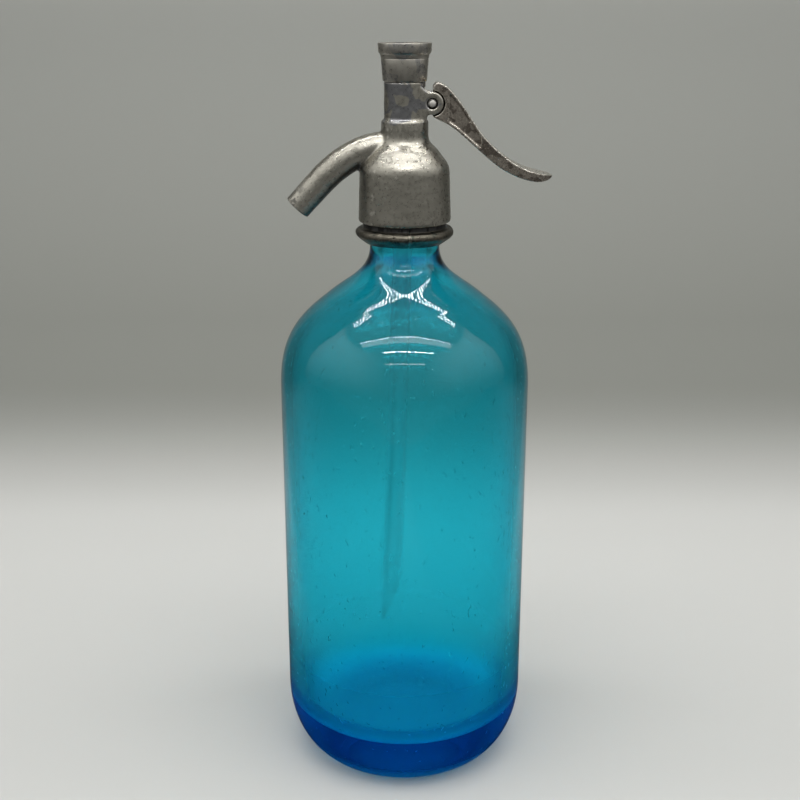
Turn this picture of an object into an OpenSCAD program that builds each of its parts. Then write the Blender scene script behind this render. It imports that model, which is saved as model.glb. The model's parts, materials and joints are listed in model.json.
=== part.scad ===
// Soda siphon: a heavy blown-glass bottle closed by a cast metal valve head.
// Pressing the lever lifts a sprung plunger off its seat, and the gas in the bottle
// drives the soda up the dip tube, past the seat and out of the spout.
// Frame: +Z up, origin on the resting face at the bottle's axis, spout towards -X,
// lever towards +X. Millimetres.

/* [Bottle] */
// Outside diameter of the straight body
body_d = 102; // [92:1:112]
// Height at which the straight body turns into the shoulder
body_top = 166; // [150:1:180]
// Height of the elliptical heel
heel_h = 30; // [22:1:36]
// How far the heel draws in from the body to the foot
heel_in = 19; // [14:1:24]
// Width of the flat ring that the bottle stands on
foot_w = 6; // [4:0.5:9]
// Height of the hollow under the bottle
kick_h = 3; // [1.5:0.5:5]
// Wall thickness of the straight body
glass_wall = 4.6; // [3.5:0.1:6]
// Height of the inner floor above the table
floor_z = 16; // [12:0.5:20]
// Radius of the round corner between inner floor and wall
floor_corner = 12; // [8:1:16]
// Height at which the shoulder reaches the neck
neck_base = 223; // [216:1:224]
// Outside diameter of the neck
neck_d = 27.8; // [26:0.1:30]
// Diameter of the bore through the neck
neck_bore = 17.6; // [17.2:0.1:18.4]
// Height of the bottle's mouth above the place where the shoulder reaches the neck
neck_rise = 23; // [20:0.5:27]
// How far the lip stands out from the neck
lip_out = 1.4; // [1:0.1:1.8]
// Height of the lip
lip_h = 7.6; // [6:0.1:9]
// Corner radius of the lip
lip_corner = 0.5; // [0.3:0.1:0.8]

/* [Collar] */
// Diameter over the collar's rim
collar_d = 40; // [38:0.5:42]
// Height of the collar's flange, from its foot to its top face
collar_flange_h = 6.8; // [6:0.1:8]
// Height of the ledge between the flange's top face and the bottle's lip
collar_ledge = 7; // [5:0.5:8]
// Thickness of the threaded sleeve above the flange
collar_sleeve_t = 1.35; // [1.1:0.05:1.6]
// Radius of the flange's rounded rim
collar_rim = 2.2; // [1.6:0.1:2.6]
// Width of the flange's flat foot
collar_toe = 1.2; // [0.8:0.1:2]
// How far the sleeve's end stays below the bottle's mouth
collar_sleeve_short = 2; // [1:0.5:4]
// Gap between the two halves at each seam
collar_seam = 0.4; // [0.2:0.1:0.8]
// Turn of the seam line away from the front
collar_seam_turn = 6; // [0:1:20]

/* [Head casting] */
// Wall thickness of the bell at its lower edge
bell_wall = 1.7; // [1.3:0.1:2.4]
// Radius of the bell's rounded lower edge
bell_edge = 1.2; // [0.6:0.1:1.6]
// Inward draft of the bell, from its lower edge to its shoulder
bell_draft = 0.6; // [0:0.1:1]
// Gap between the bell's lower edge and the collar's flange
bell_gap = 1.7; // [1:0.1:2.5]
// Height of the bell's wall, up to the start of its shoulder
bell_wall_h = 19; // [17:0.5:21]
// Height of the bell's curved shoulder
bell_shoulder_h = 15.5; // [13:0.5:17]
// Outside diameter of the short neck above the shoulder
head_neck_d = 18.7; // [18:0.1:20]
// Height of that neck
head_neck_h = 5.2; // [4:0.1:7]
// Outside diameter of the column
column_d = 16.4; // [16:0.1:17.4]
// Height of the column, from the neck's step to the cap
column_h = 14.3; // [13.6:0.1:16]
// Diameter of the threaded stub inside the cap
stub_d = 14; // [13.4:0.1:14.4]
// Height of the threaded stub
stub_h = 6.4; // [5:0.1:7]
// Diameter of the bore that the plunger slides in
column_bore = 10.4; // [10:0.1:11]

/* [Spout] */
// Outside diameter of the spout's straight end
spout_d = 11.2; // [10.4:0.1:12]
// Growth in radius from each length of the spout to the one behind it
spout_draft = 0.12; // [0.06:0.01:0.2]
// Diameter of the spout's channel
spout_bore = 5.2; // [4:0.1:6.4]
// Height of the spout's root below the neck's step
spout_drop = 10.2; // [9.6:0.1:11]
// Distance from the axis at which the spout starts to bend
spout_start = 5.7; // [4:0.1:7]
// Radius of the first bend
spout_bend_1 = 30; // [26:1:36]
// Angle of the first bend
spout_turn_1 = 25; // [18:1:30]
// Radius of the second bend
spout_bend_2 = 45; // [38:1:60]
// Angle of the second bend
spout_turn_2 = 22; // [16:1:26]
// Length of the straight end
spout_straight = 15.2; // [12:0.1:20]

/* [Lever] */
// Distance of the pivot from the bottle's axis
pivot_x = 10.6; // [10.2:0.1:11.4]
// Height of the pivot above the neck's step
pivot_up = 6.4; // [6.2:0.1:7.2]
// Radius of the round ears
ear_r = 4.4; // [4:0.1:4.8]
// Thickness of each ear
ear_t = 3; // [2.4:0.1:3.4]
// Height above the pivot at which the web of an ear meets the column
ear_web_up = 6.2; // [5.6:0.1:7]
// Diameter of the pin
pin_d = 3; // [2.6:0.1:3.4]
// How much smaller the pin's ends are, on the radius
pin_end_in = 0.15; // [0.05:0.05:0.3]
// Diameter of the counterbore round each end of the pin
pin_sink_d = 3.9; // [3.7:0.1:4.6]
// Depth of that counterbore
pin_sink = 0.8; // [0.4:0.1:1.2]
// Width of the lever's tongue between the ears
tongue_w = 4.8; // [4:0.1:5]
// Thickness of the arm that reaches into the plunger
tongue_arm_t = 2.7; // [2.2:0.1:3]
// Radius of the rounded nose that lifts the plunger
nose_r = 2; // [1.7:0.05:2.2]
// Width of the blade beside the ears
blade_w = 10.2; // [9.2:0.1:11]
// Width of the thumb pad
pad_w = 16; // [12:0.5:20]
// Depth of the recess in each side of the blade
web_depth = 0.5; // [0.3:0.05:0.8]
// Width of the rim round that recess
web_rim = 1.1; // [0.8:0.1:1.6]
// Distance from the pivot at which the recess starts
web_start = 6.6; // [6:0.1:8]
// Distance from the pivot at which the recess ends
web_end = 19; // [14:0.5:22]
// Angle that the lever turns through when it is pressed
lever_travel = 16; // [12:1:18]

/* [Cap] */
// Diameter over the cap's flange
cap_flange_d = 20.8; // [19.6:0.1:22]
// Height of the flange
cap_flange_h = 4.1; // [3:0.1:5]
// Height of the bevel under the flange
cap_bevel_h = 1.4; // [0.8:0.1:2]
// Diameter of the skirt under the flange
cap_skirt_top_d = 18.5; // [17.8:0.1:19.4]
// Diameter of the skirt at its foot
cap_skirt_d = 17.2; // [16.8:0.1:17.8]
// Overall height of the cap
cap_h = 14.4; // [13.6:0.1:16]
// Thickness of the cap's top over the spring
cap_top_t = 2.7; // [2:0.1:3.5]
// Width of the rim round the shallow dish in the cap's top
cap_rim_w = 1.8; // [1.2:0.1:3]
// Depth of that dish
cap_dish = 0.4; // [0.2:0.1:0.8]
// Chamfer along the cap's edges
cap_edge = 0.4; // [0.2:0.1:0.6]

/* [Valve] */
// Diameter of the plunger's stem
stem_d = 6; // [5:0.1:6.4]
// Height of the solid foot of the plunger's head, under its slot
plunger_foot_h = 2.6; // [2:0.1:3]
// Height of the plunger's crown, over its slot
plunger_crown_h = 3.6; // [2.5:0.1:4]
// Diameter of the valve chamber
chamber_d = 12; // [11.4:0.1:12.6]
// Thickness of the land between chamber and packing
land_t = 1.6; // [1.2:0.1:2.2]
// Height of the rubber packing
packing_h = 3.6; // [3:0.1:4]
// Height of the gland nut
gland_nut_h = 2; // [1.6:0.1:2.4]
// Diameter of the valve holder
holder_d = 9.4; // [8.8:0.1:10]
// Height of the valve holder
holder_h = 3.5; // [3:0.1:4]
// Diameter of the rubber valve disc
disc_d = 7.8; // [7:0.1:8.2]
// Thickness of the valve disc
disc_t = 2.2; // [1.8:0.1:2.6]
// How far the disc stands out of its holder
disc_proud = 1.05; // [0.8:0.05:1.3]
// Diameter of the valve screw's head
screw_head_d = 3; // [2.6:0.1:3.2]
// Height of the valve screw's head
screw_head_h = 0.7; // [0.5:0.1:0.9]
// Diameter of the valve screw's shank
screw_d = 1.8; // [1.5:0.1:2]
// Length of the valve screw's shank
screw_len = 3.8; // [3.2:0.1:4.4]
// Wire diameter of the return spring
wire_d = 1.2; // [0.9:0.05:1.3]
// Diameter over the spring's coils
spring_od = 9; // [8:0.1:9.4]
// Number of turns in the spring
spring_turns = 7; // [5:0.5:7.5]
// Thickness of the washer that the spring pushes on
spring_washer_t = 0.5; // [0.4:0.1:0.8]
// Thickness of the washer under the cap
cap_washer_t = 1; // [0.6:0.1:1.4]

/* [Dip tube] */
// Outside diameter of the glass tube
tube_d = 7.5; // [6.5:0.1:7.8]
// Bore of the glass tube
tube_bore = 3.6; // [2.8:0.1:4.2]
// Height of the tube's lowest point above the table
tube_tip_z = 57; // [22:1:70]
// Length of the slanting cut at the tube's end
tube_cut = 20; // [8:1:26]
// Lean of the tube away from the axis, towards the spout
tube_lean = 1.8; // [0:0.1:2]
// Thickness of the ferrule's flange
ferrule_flange_t = 1.8; // [1.4:0.1:2.4]
// Diameter of the ferrule's flange
ferrule_flange_d = 24; // [20:0.5:27]
// Diameter of the ferrule's barrel in the bottle's mouth
ferrule_d = 16.8; // [16:0.1:17]
// How far the barrel reaches down into the neck
ferrule_reach = 10; // [8:0.5:14]
// Diameter of the socket that grips the sleeve
socket_d = 12.4; // [11.6:0.1:13.4]
// Diameter of the orifice that the valve closes
orifice_d = 3.8; // [3.6:0.1:4.2]
// Width of the seat ring round the orifice
seat_w = 1; // [0.6:0.1:1.4]
// Height of the seat ring
seat_h = 0.8; // [0.5:0.1:1.2]
// Thickness of the rubber washer on the bottle's mouth
neck_washer_t = 2; // [1.5:0.1:3]

/* [Fits] */
// Radial clearance where one piece drops into or over another
loose_fit = 0.15; // [0.1:0.01:0.2]
// Radial clearance of the lever on its pin and of the plunger in its guides
running_fit = 0.06; // [0.03:0.01:0.09]
// Clearance on each side of the tongue and of the nose in its slot
side_play = 0.2; // [0.15:0.01:0.3]
// Gap that stands for two faces pressed together
touch = 0.05; // [0.02:0.01:0.1]

/* [Hidden] */
$fn = 96;
lap = 0.5; // overlap of two lengths that make one piece
far = 60; // reach of a cut that has to pass right through

// Derived radii
body_r = body_d / 2;
foot_r = body_r - heel_in;
neck_r = neck_d / 2;
lip_r = neck_r + lip_out;
collar_r = collar_d / 2;
collar_bore_r = neck_r + loose_fit;
sleeve_in_r = lip_r + loose_fit;
// Mating threads are drawn plain, at one diameter, so they touch.
sleeve_r = sleeve_in_r + collar_sleeve_t;
bell_bore_r = sleeve_r;
bell_r = sleeve_r + bell_wall;
head_neck_r = head_neck_d / 2;
column_r = column_d / 2;
bore_r = column_bore / 2;
chamber_r = chamber_d / 2;
stem_r = stem_d / 2;
gap_y = tongue_w / 2 + side_play;
ear_y = gap_y + ear_t;
ferrule_r = ferrule_d / 2;
orifice_r = orifice_d / 2;
spring_r = (spring_od - wire_d) / 2;

// Heights, worked up from the table through everything that is stacked
mouth_z = neck_base + neck_rise;
lip_base = mouth_z - lip_h;
collar_flange_top = lip_base - collar_ledge;
collar_foot = collar_flange_top - collar_flange_h;
sleeve_top = mouth_z - collar_sleeve_short;
bell_foot = collar_flange_top + bell_gap;
flange_base = mouth_z + neck_washer_t;
inner_shoulder = flange_base + ferrule_flange_t;
bell_roof = flange_base + 2 * side_play;
bell_wall_top = bell_foot + bell_wall_h;
bell_shoulder_top = bell_wall_top + bell_shoulder_h;
step_z = bell_shoulder_top + head_neck_h;
cap_foot = step_z + column_h;
stub_top = cap_foot + stub_h;
cap_top = cap_foot + cap_h;
pivot_z = step_z + pivot_up;
spout_z = step_z - spout_drop;
spring_top = cap_top - cap_top_t - spring_washer_t;

// The nose swings as far above the pivot's level as below it, so it lifts the plunger evenly.
arm_len = pivot_x;
arm_rest = -lever_travel / 2;
lift = 2 * arm_len * sin(lever_travel / 2);
slot_mid = pivot_z + arm_len * sin(arm_rest);
slot_half = nose_r + side_play;
slot_base = slot_mid - slot_half;
slot_top = slot_mid + slot_half;
plunger_base = slot_base - plunger_foot_h;
plunger_top = slot_top + plunger_crown_h;
nut_top = plunger_base - 2 * side_play;
packing_top = nut_top - gland_nut_h;
land_top = packing_top - packing_h;
chamber_top = land_top - land_t;
holder_top = chamber_top - lift - 5 * side_play;
disc_base = holder_top - holder_h - disc_proud;
disc_top = disc_base + disc_t;
seat_z = disc_base - touch;
boss_top = seat_z - seat_h;
tube_top = flange_base - loose_fit;

// ---------- helpers ----------

function lerp(a, b, t) = a + (b - a) * t;

// Points of a cubic Bezier curve from a to d, n steps, without its first point
function bezier(a, b, c, d, n) = [for (i = [1 : n]) let (t = i / n, u = 1 - t)
    u * u * u * a + 3 * u * u * t * b + 3 * u * t * t * c + t * t * t * d];

// Points of a quarter ellipse about c, from angle p to angle q, n steps, without its first point
function bow(c, rx, ry, p, q, n) = [for (i = [1 : n]) let (g = lerp(p, q, i / n))
    [c[0] + rx * cos(g), c[1] + ry * sin(g)]];

// Slope at point i of a row of [x, y] points
function slope(p, i) = let (a = max(i - 1, 0), b = min(i + 1, len(p) - 1))
    (p[b][1] - p[a][1]) / (p[b][0] - p[a][0]);

// Smooth curve through a row of [x, y] points, read at x
function through(p, x, i = 0) = (i < len(p) - 2 && x > p[i + 1][0]) ? through(p, x, i + 1) :
    let (w = p[i + 1][0] - p[i][0], t = (x - p[i][0]) / w, t2 = t * t, t3 = t2 * t)
    (2 * t3 - 3 * t2 + 1) * p[i][1] + (t3 - 2 * t2 + t) * w * slope(p, i)
    + (3 * t2 - 2 * t3) * p[i + 1][1] + (t3 - t2) * w * slope(p, i + 1);

// A ring about the Z axis between two radii and two heights
module ring(r_in, r_out, z0, z1) {
    translate([0, 0, z0]) difference() {
        cylinder(r = r_out, h = z1 - z0);
        translate([0, 0, -1]) cylinder(r = r_in, h = z1 - z0 + 2);
    }
}

// A solid rod about the Z axis
module rod(r, z0, z1) {
    translate([0, 0, z0]) cylinder(r = r, h = z1 - z0);
}

// Closed skin over a list of rings, each with the same number of points
module skin(rings) {
    n = len(rings[0]);
    m = len(rings);
    points = [for (r = rings) each r];
    walls = [for (i = [0 : m - 2], j = [0 : n - 1]) let (k = (j + 1) % n)
        each [[i * n + j, i * n + k, (i + 1) * n + k], [i * n + j, (i + 1) * n + k, (i + 1) * n + j]]];
    ends = [[for (j = [n - 1 : -1 : 0]) j], [for (j = [0 : n - 1]) (m - 1) * n + j]];
    polyhedron(points, concat(walls, ends));
}

// ---------- bottle ----------

// The shoulder: a full round turn off the body, then a long sweep in to the neck
function shoulder(r_body, z_body, r_neck, z_neck, n) = let (h = z_neck - z_body)
    concat(bezier([r_body, z_body], [r_body, z_body + 0.33 * h],
               [r_body - 0.12 * body_r, z_body + 0.475 * h], [r_body - 0.36 * body_r, z_body + 0.64 * h], n),
        bezier([r_body - 0.36 * body_r, z_body + 0.64 * h],
               [r_body - 0.53 * body_r, z_body + 0.775 * h],
               [r_neck + 0.5, z_body + 0.82 * h], [r_neck, z_neck], n));

module bottle_outside() {
    polygon(concat(
        [[0, 0], [foot_r, 0]],
        bow([foot_r, heel_h], heel_in, heel_h, -90, 0, 12),
        [[body_r, body_top]],
        shoulder(body_r, body_top, neck_r, neck_base, 10),
        [[neck_r, lip_base]],
        bow([lip_r - lip_corner, lip_base + lip_corner], lip_corner, lip_corner, -90, 0, 3),
        bow([neck_r, mouth_z - lip_out], lip_out, lip_out, 0, 90, 4),
        [[0, mouth_z]]));
}

module bottle_inside() {
    inner_r = body_r - glass_wall;
    polygon(concat(
        [[0, floor_z], [inner_r - floor_corner, floor_z]],
        bow([inner_r - floor_corner, floor_z + floor_corner], floor_corner, floor_corner, -90, 0, 8),
        [[inner_r, body_top]],
        shoulder(inner_r, body_top, neck_bore / 2, neck_base - glass_wall, 10),
        [[neck_bore / 2, mouth_z + 1], [0, mouth_z + 1]]));
}

module kick() {
    edge = foot_r - foot_w;
    polygon(concat([[0, -1], [edge, -1], [edge, 0]],
        bow([0, 0], edge, kick_h, 0, 90, 8)));
}

module bottle() {
    color("deepskyblue", 0.5) rotate_extrude() difference() {
        bottle_outside();
        bottle_inside();
        kick();
    }
}

// ---------- split collar ----------

// Section of the collar: a flange with a rounded rim, and the sleeve that closes over the lip
module collar_profile() {
    rim_z = collar_foot + 0.66 * collar_flange_h;
    polygon(concat(
        [[collar_bore_r, collar_foot], [collar_bore_r + collar_toe, collar_foot],
         [collar_r - 0.6 * collar_rim, rim_z - collar_rim]],
        bow([collar_r - collar_rim, rim_z], collar_rim, collar_rim, -40, 82, 8),
        [[sleeve_r, collar_flange_top], [sleeve_r, sleeve_top], [sleeve_in_r, sleeve_top],
         [sleeve_in_r, lip_base], [collar_bore_r, lip_base]]));
}

module collar_half(side) {
    rotate([0, 0, collar_seam_turn]) intersection() {
        rotate_extrude() collar_profile();
        translate([side > 0 ? collar_seam / 2 : -far - collar_seam / 2, -far, 0])
            cube([far, 2 * far, 2 * mouth_z]);
    }
}

module collar_left() {
    color("dimgray") collar_half(-1);
}

module collar_right() {
    color("dimgray") collar_half(1);
}

// ---------- seals and dip tube ----------

module neck_washer() {
    color("darkred") ring(ferrule_r + loose_fit, lip_r, mouth_z, flange_base);
}

module tube_ferrule() {
    color("goldenrod") difference() {
        union() {
            rod(ferrule_r, mouth_z - ferrule_reach, inner_shoulder);
            rod(ferrule_flange_d / 2, flange_base, inner_shoulder);
            rod(chamber_r - loose_fit, inner_shoulder - lap, boss_top);
            rod(orifice_r + seat_w, boss_top - lap, seat_z);
        }
        rod(socket_d / 2, mouth_z - ferrule_reach - 1, flange_base);
        rod(orifice_r, flange_base - 1, seat_z + 1);
    }
}

// The tube leans in its rubber sleeve, about its own top.
module leaning() {
    translate([0, 0, tube_top]) rotate([0, tube_lean, 0]) children();
}

module tube_sleeve() {
    color("darkred") difference() {
        rod(socket_d / 2, mouth_z - ferrule_reach, tube_top);
        leaning() translate([0, 0, -far]) cylinder(d = tube_d, h = 2 * far);
    }
}

module dip_tube() {
    len = (tube_top - tube_tip_z) / cos(tube_lean);
    color("lightcyan", 0.5) leaning() translate([0, 0, -len]) difference() {
        cylinder(d = tube_d, h = len);
        translate([0, 0, -1]) cylinder(d = tube_bore, h = len + 2);
        translate([-tube_d / 2, 0, 0]) rotate([0, -atan(tube_cut / tube_d), 0])
            translate([-far, -far / 2, -far]) cube([2 * far, far, far]);
    }
}

// ---------- head casting ----------

// The bell's wall, its shoulder in two curves that meet half way in, the neck, column and stub
module bell_outside() {
    shoulder_r = bell_r - bell_draft;
    run = shoulder_r - head_neck_r;
    half_way = [shoulder_r - 0.49 * run, bell_wall_top + 0.55 * bell_shoulder_h];
    step_edge = 0.5;
    polygon(concat(
        [[0, bell_foot], [bell_r - bell_edge, bell_foot]],
        bow([bell_r - bell_edge, bell_foot + bell_edge], bell_edge, bell_edge, -90, 0, 4),
        [[shoulder_r, bell_wall_top]],
        bezier([shoulder_r, bell_wall_top],
            [shoulder_r, bell_wall_top + 0.3 * bell_shoulder_h],
            [shoulder_r - 0.26 * run, bell_wall_top + 0.36 * bell_shoulder_h], half_way, 6),
        bezier(half_way,
            [shoulder_r - 0.75 * run, bell_wall_top + 0.77 * bell_shoulder_h],
            [head_neck_r, bell_wall_top + 0.7 * bell_shoulder_h],
            [head_neck_r, bell_shoulder_top], 8),
        [[head_neck_r, step_z - step_edge], [head_neck_r - step_edge, step_z], [column_r, step_z],
         [column_r, cap_foot], [stub_d / 2, cap_foot], [stub_d / 2, stub_top], [0, stub_top]]));
}

// Side outline of an ear and of the web that ties it to the column, about the pivot. The web falls
// from the column to the top of the round ear, and runs down into the neck behind it.
module ear_outline() {
    web_foot = -pivot_up - lap;
    circle(r = ear_r);
    polygon([[bore_r - pivot_x, ear_web_up], [-0.9 * ear_r, ear_web_up], [-0.43 * ear_r, ear_r],
        [0, ear_r], [0, -0.86 * ear_r], [-0.41 * ear_r, -ear_r], [-0.45 * ear_r, web_foot],
        [bore_r - pivot_x, web_foot]]);
}

// Carries 2D children drawn about the pivot in the XZ plane, from y0 to y1
module across(y0, y1) {
    translate([pivot_x, y1, pivot_z]) rotate([90, 0, 0]) linear_extrude(y1 - y0) children();
}

// A bent rod along the spout's route, from inside the casting to the tip. Each length is drawn in
// from the one behind it by the draft, and starts a little way inside it.
module spout_rod(r, draft, extra) {
    mirror([1, 0, 0]) translate([0, 0, spout_z]) rotate([90, 0, 0]) {
        rotate([0, 90, 0]) cylinder(r = r + 3 * draft, h = spout_start + lap);
        translate([spout_start, 0, 0]) {
            bend(spout_bend_1, spout_turn_1, r + 2 * draft);
            translate(bend_end(spout_bend_1, spout_turn_1)) rotate([0, 0, -spout_turn_1]) {
                bend(spout_bend_2, spout_turn_2, r + draft);
                translate(bend_end(spout_bend_2, spout_turn_2)) rotate([0, 0, -spout_turn_2])
                    rotate([0, 90, 0]) translate([0, 0, -lap])
                        cylinder(r = r, h = spout_straight + lap + extra);
            }
        }
    }
}

// Where a bend that starts at the origin ends
function bend_end(bend_r, angle) = [bend_r * sin(angle), -bend_r * (1 - cos(angle)), 0];

// A round bar that starts along +X near the origin and bends down through an angle in the XY plane
module bend(bend_r, angle, r) {
    lead = lap / bend_r * 180 / PI;
    translate([0, -bend_r, 0]) rotate([0, 0, 90 - angle]) rotate_extrude(angle = angle + lead)
        translate([bend_r, 0]) circle(r = r);
}

module head_body() {
    color("gray") difference() {
        union() {
            rotate_extrude() bell_outside();
            for (y = [-ear_y, gap_y]) across(y, y + ear_t) ear_outline();
            spout_rod(spout_d / 2, spout_draft, 0);
        }
        rod(bell_bore_r, bell_foot - 1, bell_roof);
        rod(ferrule_flange_d / 2 + loose_fit, bell_foot, inner_shoulder);
        rod(chamber_r, inner_shoulder - 1, chamber_top);
        rod(stem_r + loose_fit, chamber_top - 1, land_top + 1);
        rod(bore_r, land_top, stub_top + 1);
        spout_rod(spout_bore / 2, -spout_draft, 1);
        // Slot for the tongue, through the column's wall
        across(-gap_y, gap_y) translate([-pivot_x + bore_r - 2, -pivot_up]) square([far, 12]);
        // Pin hole, and a counterbore round each end of the pin
        across(-far, far) circle(d = pin_d);
        for (y = [-ear_y - 1, ear_y - pin_sink]) across(y, y + pin_sink + 1) circle(d = pin_sink_d);
    }
}

// ---------- gland ----------

module gland_packing() {
    color("saddlebrown") ring(stem_r + running_fit, bore_r, land_top, packing_top);
}

module gland_nut() {
    key_w = 1.2;
    key_depth = 0.8;
    color("goldenrod") difference() {
        ring(stem_r + loose_fit, bore_r, packing_top, nut_top);
        translate([-far / 2, -key_w / 2, nut_top - key_depth]) cube([far, key_w, key_w]);
    }
}

// ---------- cap and spring ----------

module top_cap() {
    flange_r = cap_flange_d / 2;
    flange_z = cap_top - cap_flange_h;
    color("gray") difference() {
        rotate_extrude() polygon([[0, cap_foot], [cap_skirt_d / 2 - cap_edge, cap_foot],
            [cap_skirt_d / 2, cap_foot + cap_edge], [cap_skirt_top_d / 2, flange_z - cap_bevel_h],
            [flange_r - cap_edge / 2, flange_z], [flange_r, cap_top - cap_edge],
            [flange_r - cap_edge, cap_top], [flange_r - cap_rim_w, cap_top],
            [flange_r - cap_rim_w - 2 * cap_dish, cap_top - cap_dish], [0, cap_top - cap_dish]]);
        rod(stub_d / 2, cap_foot - 1, stub_top + cap_washer_t);
        rod(bore_r, cap_foot, cap_top - cap_top_t);
    }
}

module cap_washer() {
    color("saddlebrown") ring(bore_r, stub_d / 2, stub_top, stub_top + cap_washer_t);
}

module spring_washer() {
    color("silver") ring(spring_r - wire_d - side_play, bore_r - loose_fit, spring_top, cap_top - cap_top_t);
}

// One unbroken wire: rings of points along a helix, skinned
module return_spring() {
    sides = 6;
    per_turn = 8;
    steps = spring_turns * per_turn;
    half_h = wire_d / 2 * sin(60);
    z0 = plunger_top + touch + half_h;
    climb = (spring_top - half_h - z0) / steps;
    pitch = climb * per_turn;
    echo(least_gap_between_coils = pitch - wire_d);
    color("silver") skin([for (i = [0 : steps]) let (a = 360 * i / per_turn) [for (j = [0 : sides - 1])
        let (b = -360 * j / sides, r = spring_r + wire_d / 2 * cos(b))
        [r * cos(a), r * sin(a), z0 + i * climb + wire_d / 2 * sin(b)]]]);
}

// ---------- lever ----------

module lever_pin() {
    color("silver") {
        across(-ear_y + pin_sink, ear_y - pin_sink) circle(d = pin_d);
        for (y = [-ear_y, ear_y - pin_sink]) across(y, y + pin_sink) circle(r = pin_d / 2 - pin_end_in);
    }
}

// Upper and lower edge of the blade, as [distance out from the pivot, height above it]
blade_top = [[0.2, 6.4], [1.8, 7.8], [5.8, 6], [10.7, 0.7], [15.6, -6.3], [20.5, -13],
    [26.8, -18.9], [33.8, -23.6], [40.8, -26.1], [45, -26.9], [47.4, -27.6]];
blade_base = [[0.2, -5.2], [5.8, -7.9], [10, -10.8], [14.2, -14.4], [21.2, -20.4], [26.8, -24.7],
    [33.8, -28], [40.8, -29.6], [45, -29.3], [47.4, -28.2]];
blade_reach = blade_top[len(blade_top) - 1][0];
blade_root = blade_top[0][0];

// Half width of the blade at x: straight beside the ears, then flared to a round-ended thumb pad
function blade_half(x) = let (u = (x - blade_root) / (blade_reach - blade_root), w = blade_w / 2)
    u < 0.4 ? w :
    u < 0.8 ? lerp(w, pad_w / 2, 0.5 - 0.5 * cos((u - 0.4) / 0.4 * 180)) :
    pad_w / 2 * sqrt(max(0, 1 - pow((u - 0.8) / 0.2, 2)));

// Stations along the blade, closer together towards its round end
function blade_x(i, n) = lerp(blade_root, blade_reach, sin(i / n * 90));

// The blade is the side outline and the plan outline, each cut through the other.
module blade() {
    n = 24;
    xs = [for (i = [0 : n]) blade_x(i, n)];
    back = [for (i = [n : -1 : 0]) i];
    translate([pivot_x, 0, pivot_z]) intersection() {
        rotate([90, 0, 0]) translate([0, 0, -pad_w]) linear_extrude(2 * pad_w)
            polygon(concat([for (x = xs) [x, through(blade_top, x)]],
                [for (i = back) [xs[i], through(blade_base, xs[i])]]));
        translate([0, 0, -far]) linear_extrude(2 * far)
            polygon(concat([for (i = [0 : n - 1]) [xs[i], blade_half(xs[i])]], [[blade_reach, 0]],
                [for (i = [n - 1 : -1 : 0]) [xs[i], -blade_half(xs[i])]]));
    }
}

// Shallow recess that leaves a rim along the edges of each side. The blade falls at about 45 degrees
// there, so the rim's width is drawn longer where it is measured upright.
module web_outline() {
    n = 10;
    upright = web_rim / cos(45);
    xs = [for (i = [0 : n]) lerp(web_start, web_end, i / n)];
    polygon(concat([for (x = xs) [x, through(blade_top, x) - upright]],
        [for (i = [n : -1 : 0]) [xs[i], through(blade_base, xs[i]) + upright]]));
}

module tongue() {
    across(-tongue_w / 2, tongue_w / 2) {
        circle(r = ear_r - side_play);
        rotate(-arm_rest) translate([-arm_len, 0]) {
            circle(r = nose_r);
            translate([0, -tongue_arm_t / 2]) square([arm_len, tongue_arm_t]);
        }
    }
}

module lever() {
    color("gray") difference() {
        union() {
            difference() {
                blade();
                // Room for the ears, so that the blade's end is an arc about the pivot
                for (y = [-far, tongue_w / 2]) across(y, y + far - tongue_w / 2)
                    circle(r = ear_r + 2 * side_play);
                for (y = [-far - blade_w / 2 + web_depth, blade_w / 2 - web_depth])
                    across(y, y + far) web_outline();
            }
            tongue();
        }
        across(-far, far) circle(r = pin_d / 2 + running_fit);
    }
}

// ---------- plunger and valve ----------

module plunger() {
    color("goldenrod") difference() {
        union() {
            rod(bore_r - running_fit, plunger_base, plunger_top);
            rod(stem_r, holder_top, plunger_base + lap);
            // The tip, twice the screw's diameter, that the holder slips over
            rod(screw_d, disc_top, holder_top + lap);
        }
        // Slot for the lever's nose, open towards the lever
        translate([-nose_r - 2 * side_play, -gap_y, slot_base]) cube([far, 2 * gap_y, slot_top - slot_base]);
        rod(screw_d / 2, disc_top - 1, disc_base + screw_len);
    }
}

module valve_holder() {
    rim_z = disc_base + disc_proud;
    color("goldenrod") difference() {
        rod(holder_d / 2, rim_z, holder_top);
        rod(disc_d / 2, rim_z - 1, disc_top);
        rod(screw_d, disc_top - 1, holder_top + 1);
    }
}

module valve_disc() {
    color("darkred") ring(screw_d / 2, disc_d / 2, disc_base, disc_top);
}

module valve_screw() {
    slit_w = 0.5;
    slit_depth = 0.3;
    color("silver") difference() {
        union() {
            rod(screw_head_d / 2, disc_base - screw_head_h, disc_base);
            rod(screw_d / 2, disc_base - lap, disc_base + screw_len);
        }
        translate([-far / 2, -slit_w / 2, disc_base - screw_head_h - 1]) cube([far, slit_w, 1 + slit_depth]);
    }
}

bottle();
collar_left();
collar_right();
neck_washer();
tube_ferrule();
tube_sleeve();
dip_tube();
head_body();
gland_packing();
gland_nut();
top_cap();
cap_washer();
spring_washer();
return_spring();
lever_pin();
lever();
plunger();
valve_holder();
valve_disc();
valve_screw();
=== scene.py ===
# %% [markdown]
# # A soda siphon
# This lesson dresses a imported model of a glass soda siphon. The frame already holds every piece at
# its real size: a heavy bottle, a split collar, a cast head with a curved spout, a thumb lever on a
# pin, and the sprung valve inside. Here the pieces that the eye meets are modelled again with finer
# forms, and each piece gets the finish of its real material. Nothing is moved or resized.

# %% Load the frame
import json
import math

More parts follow.
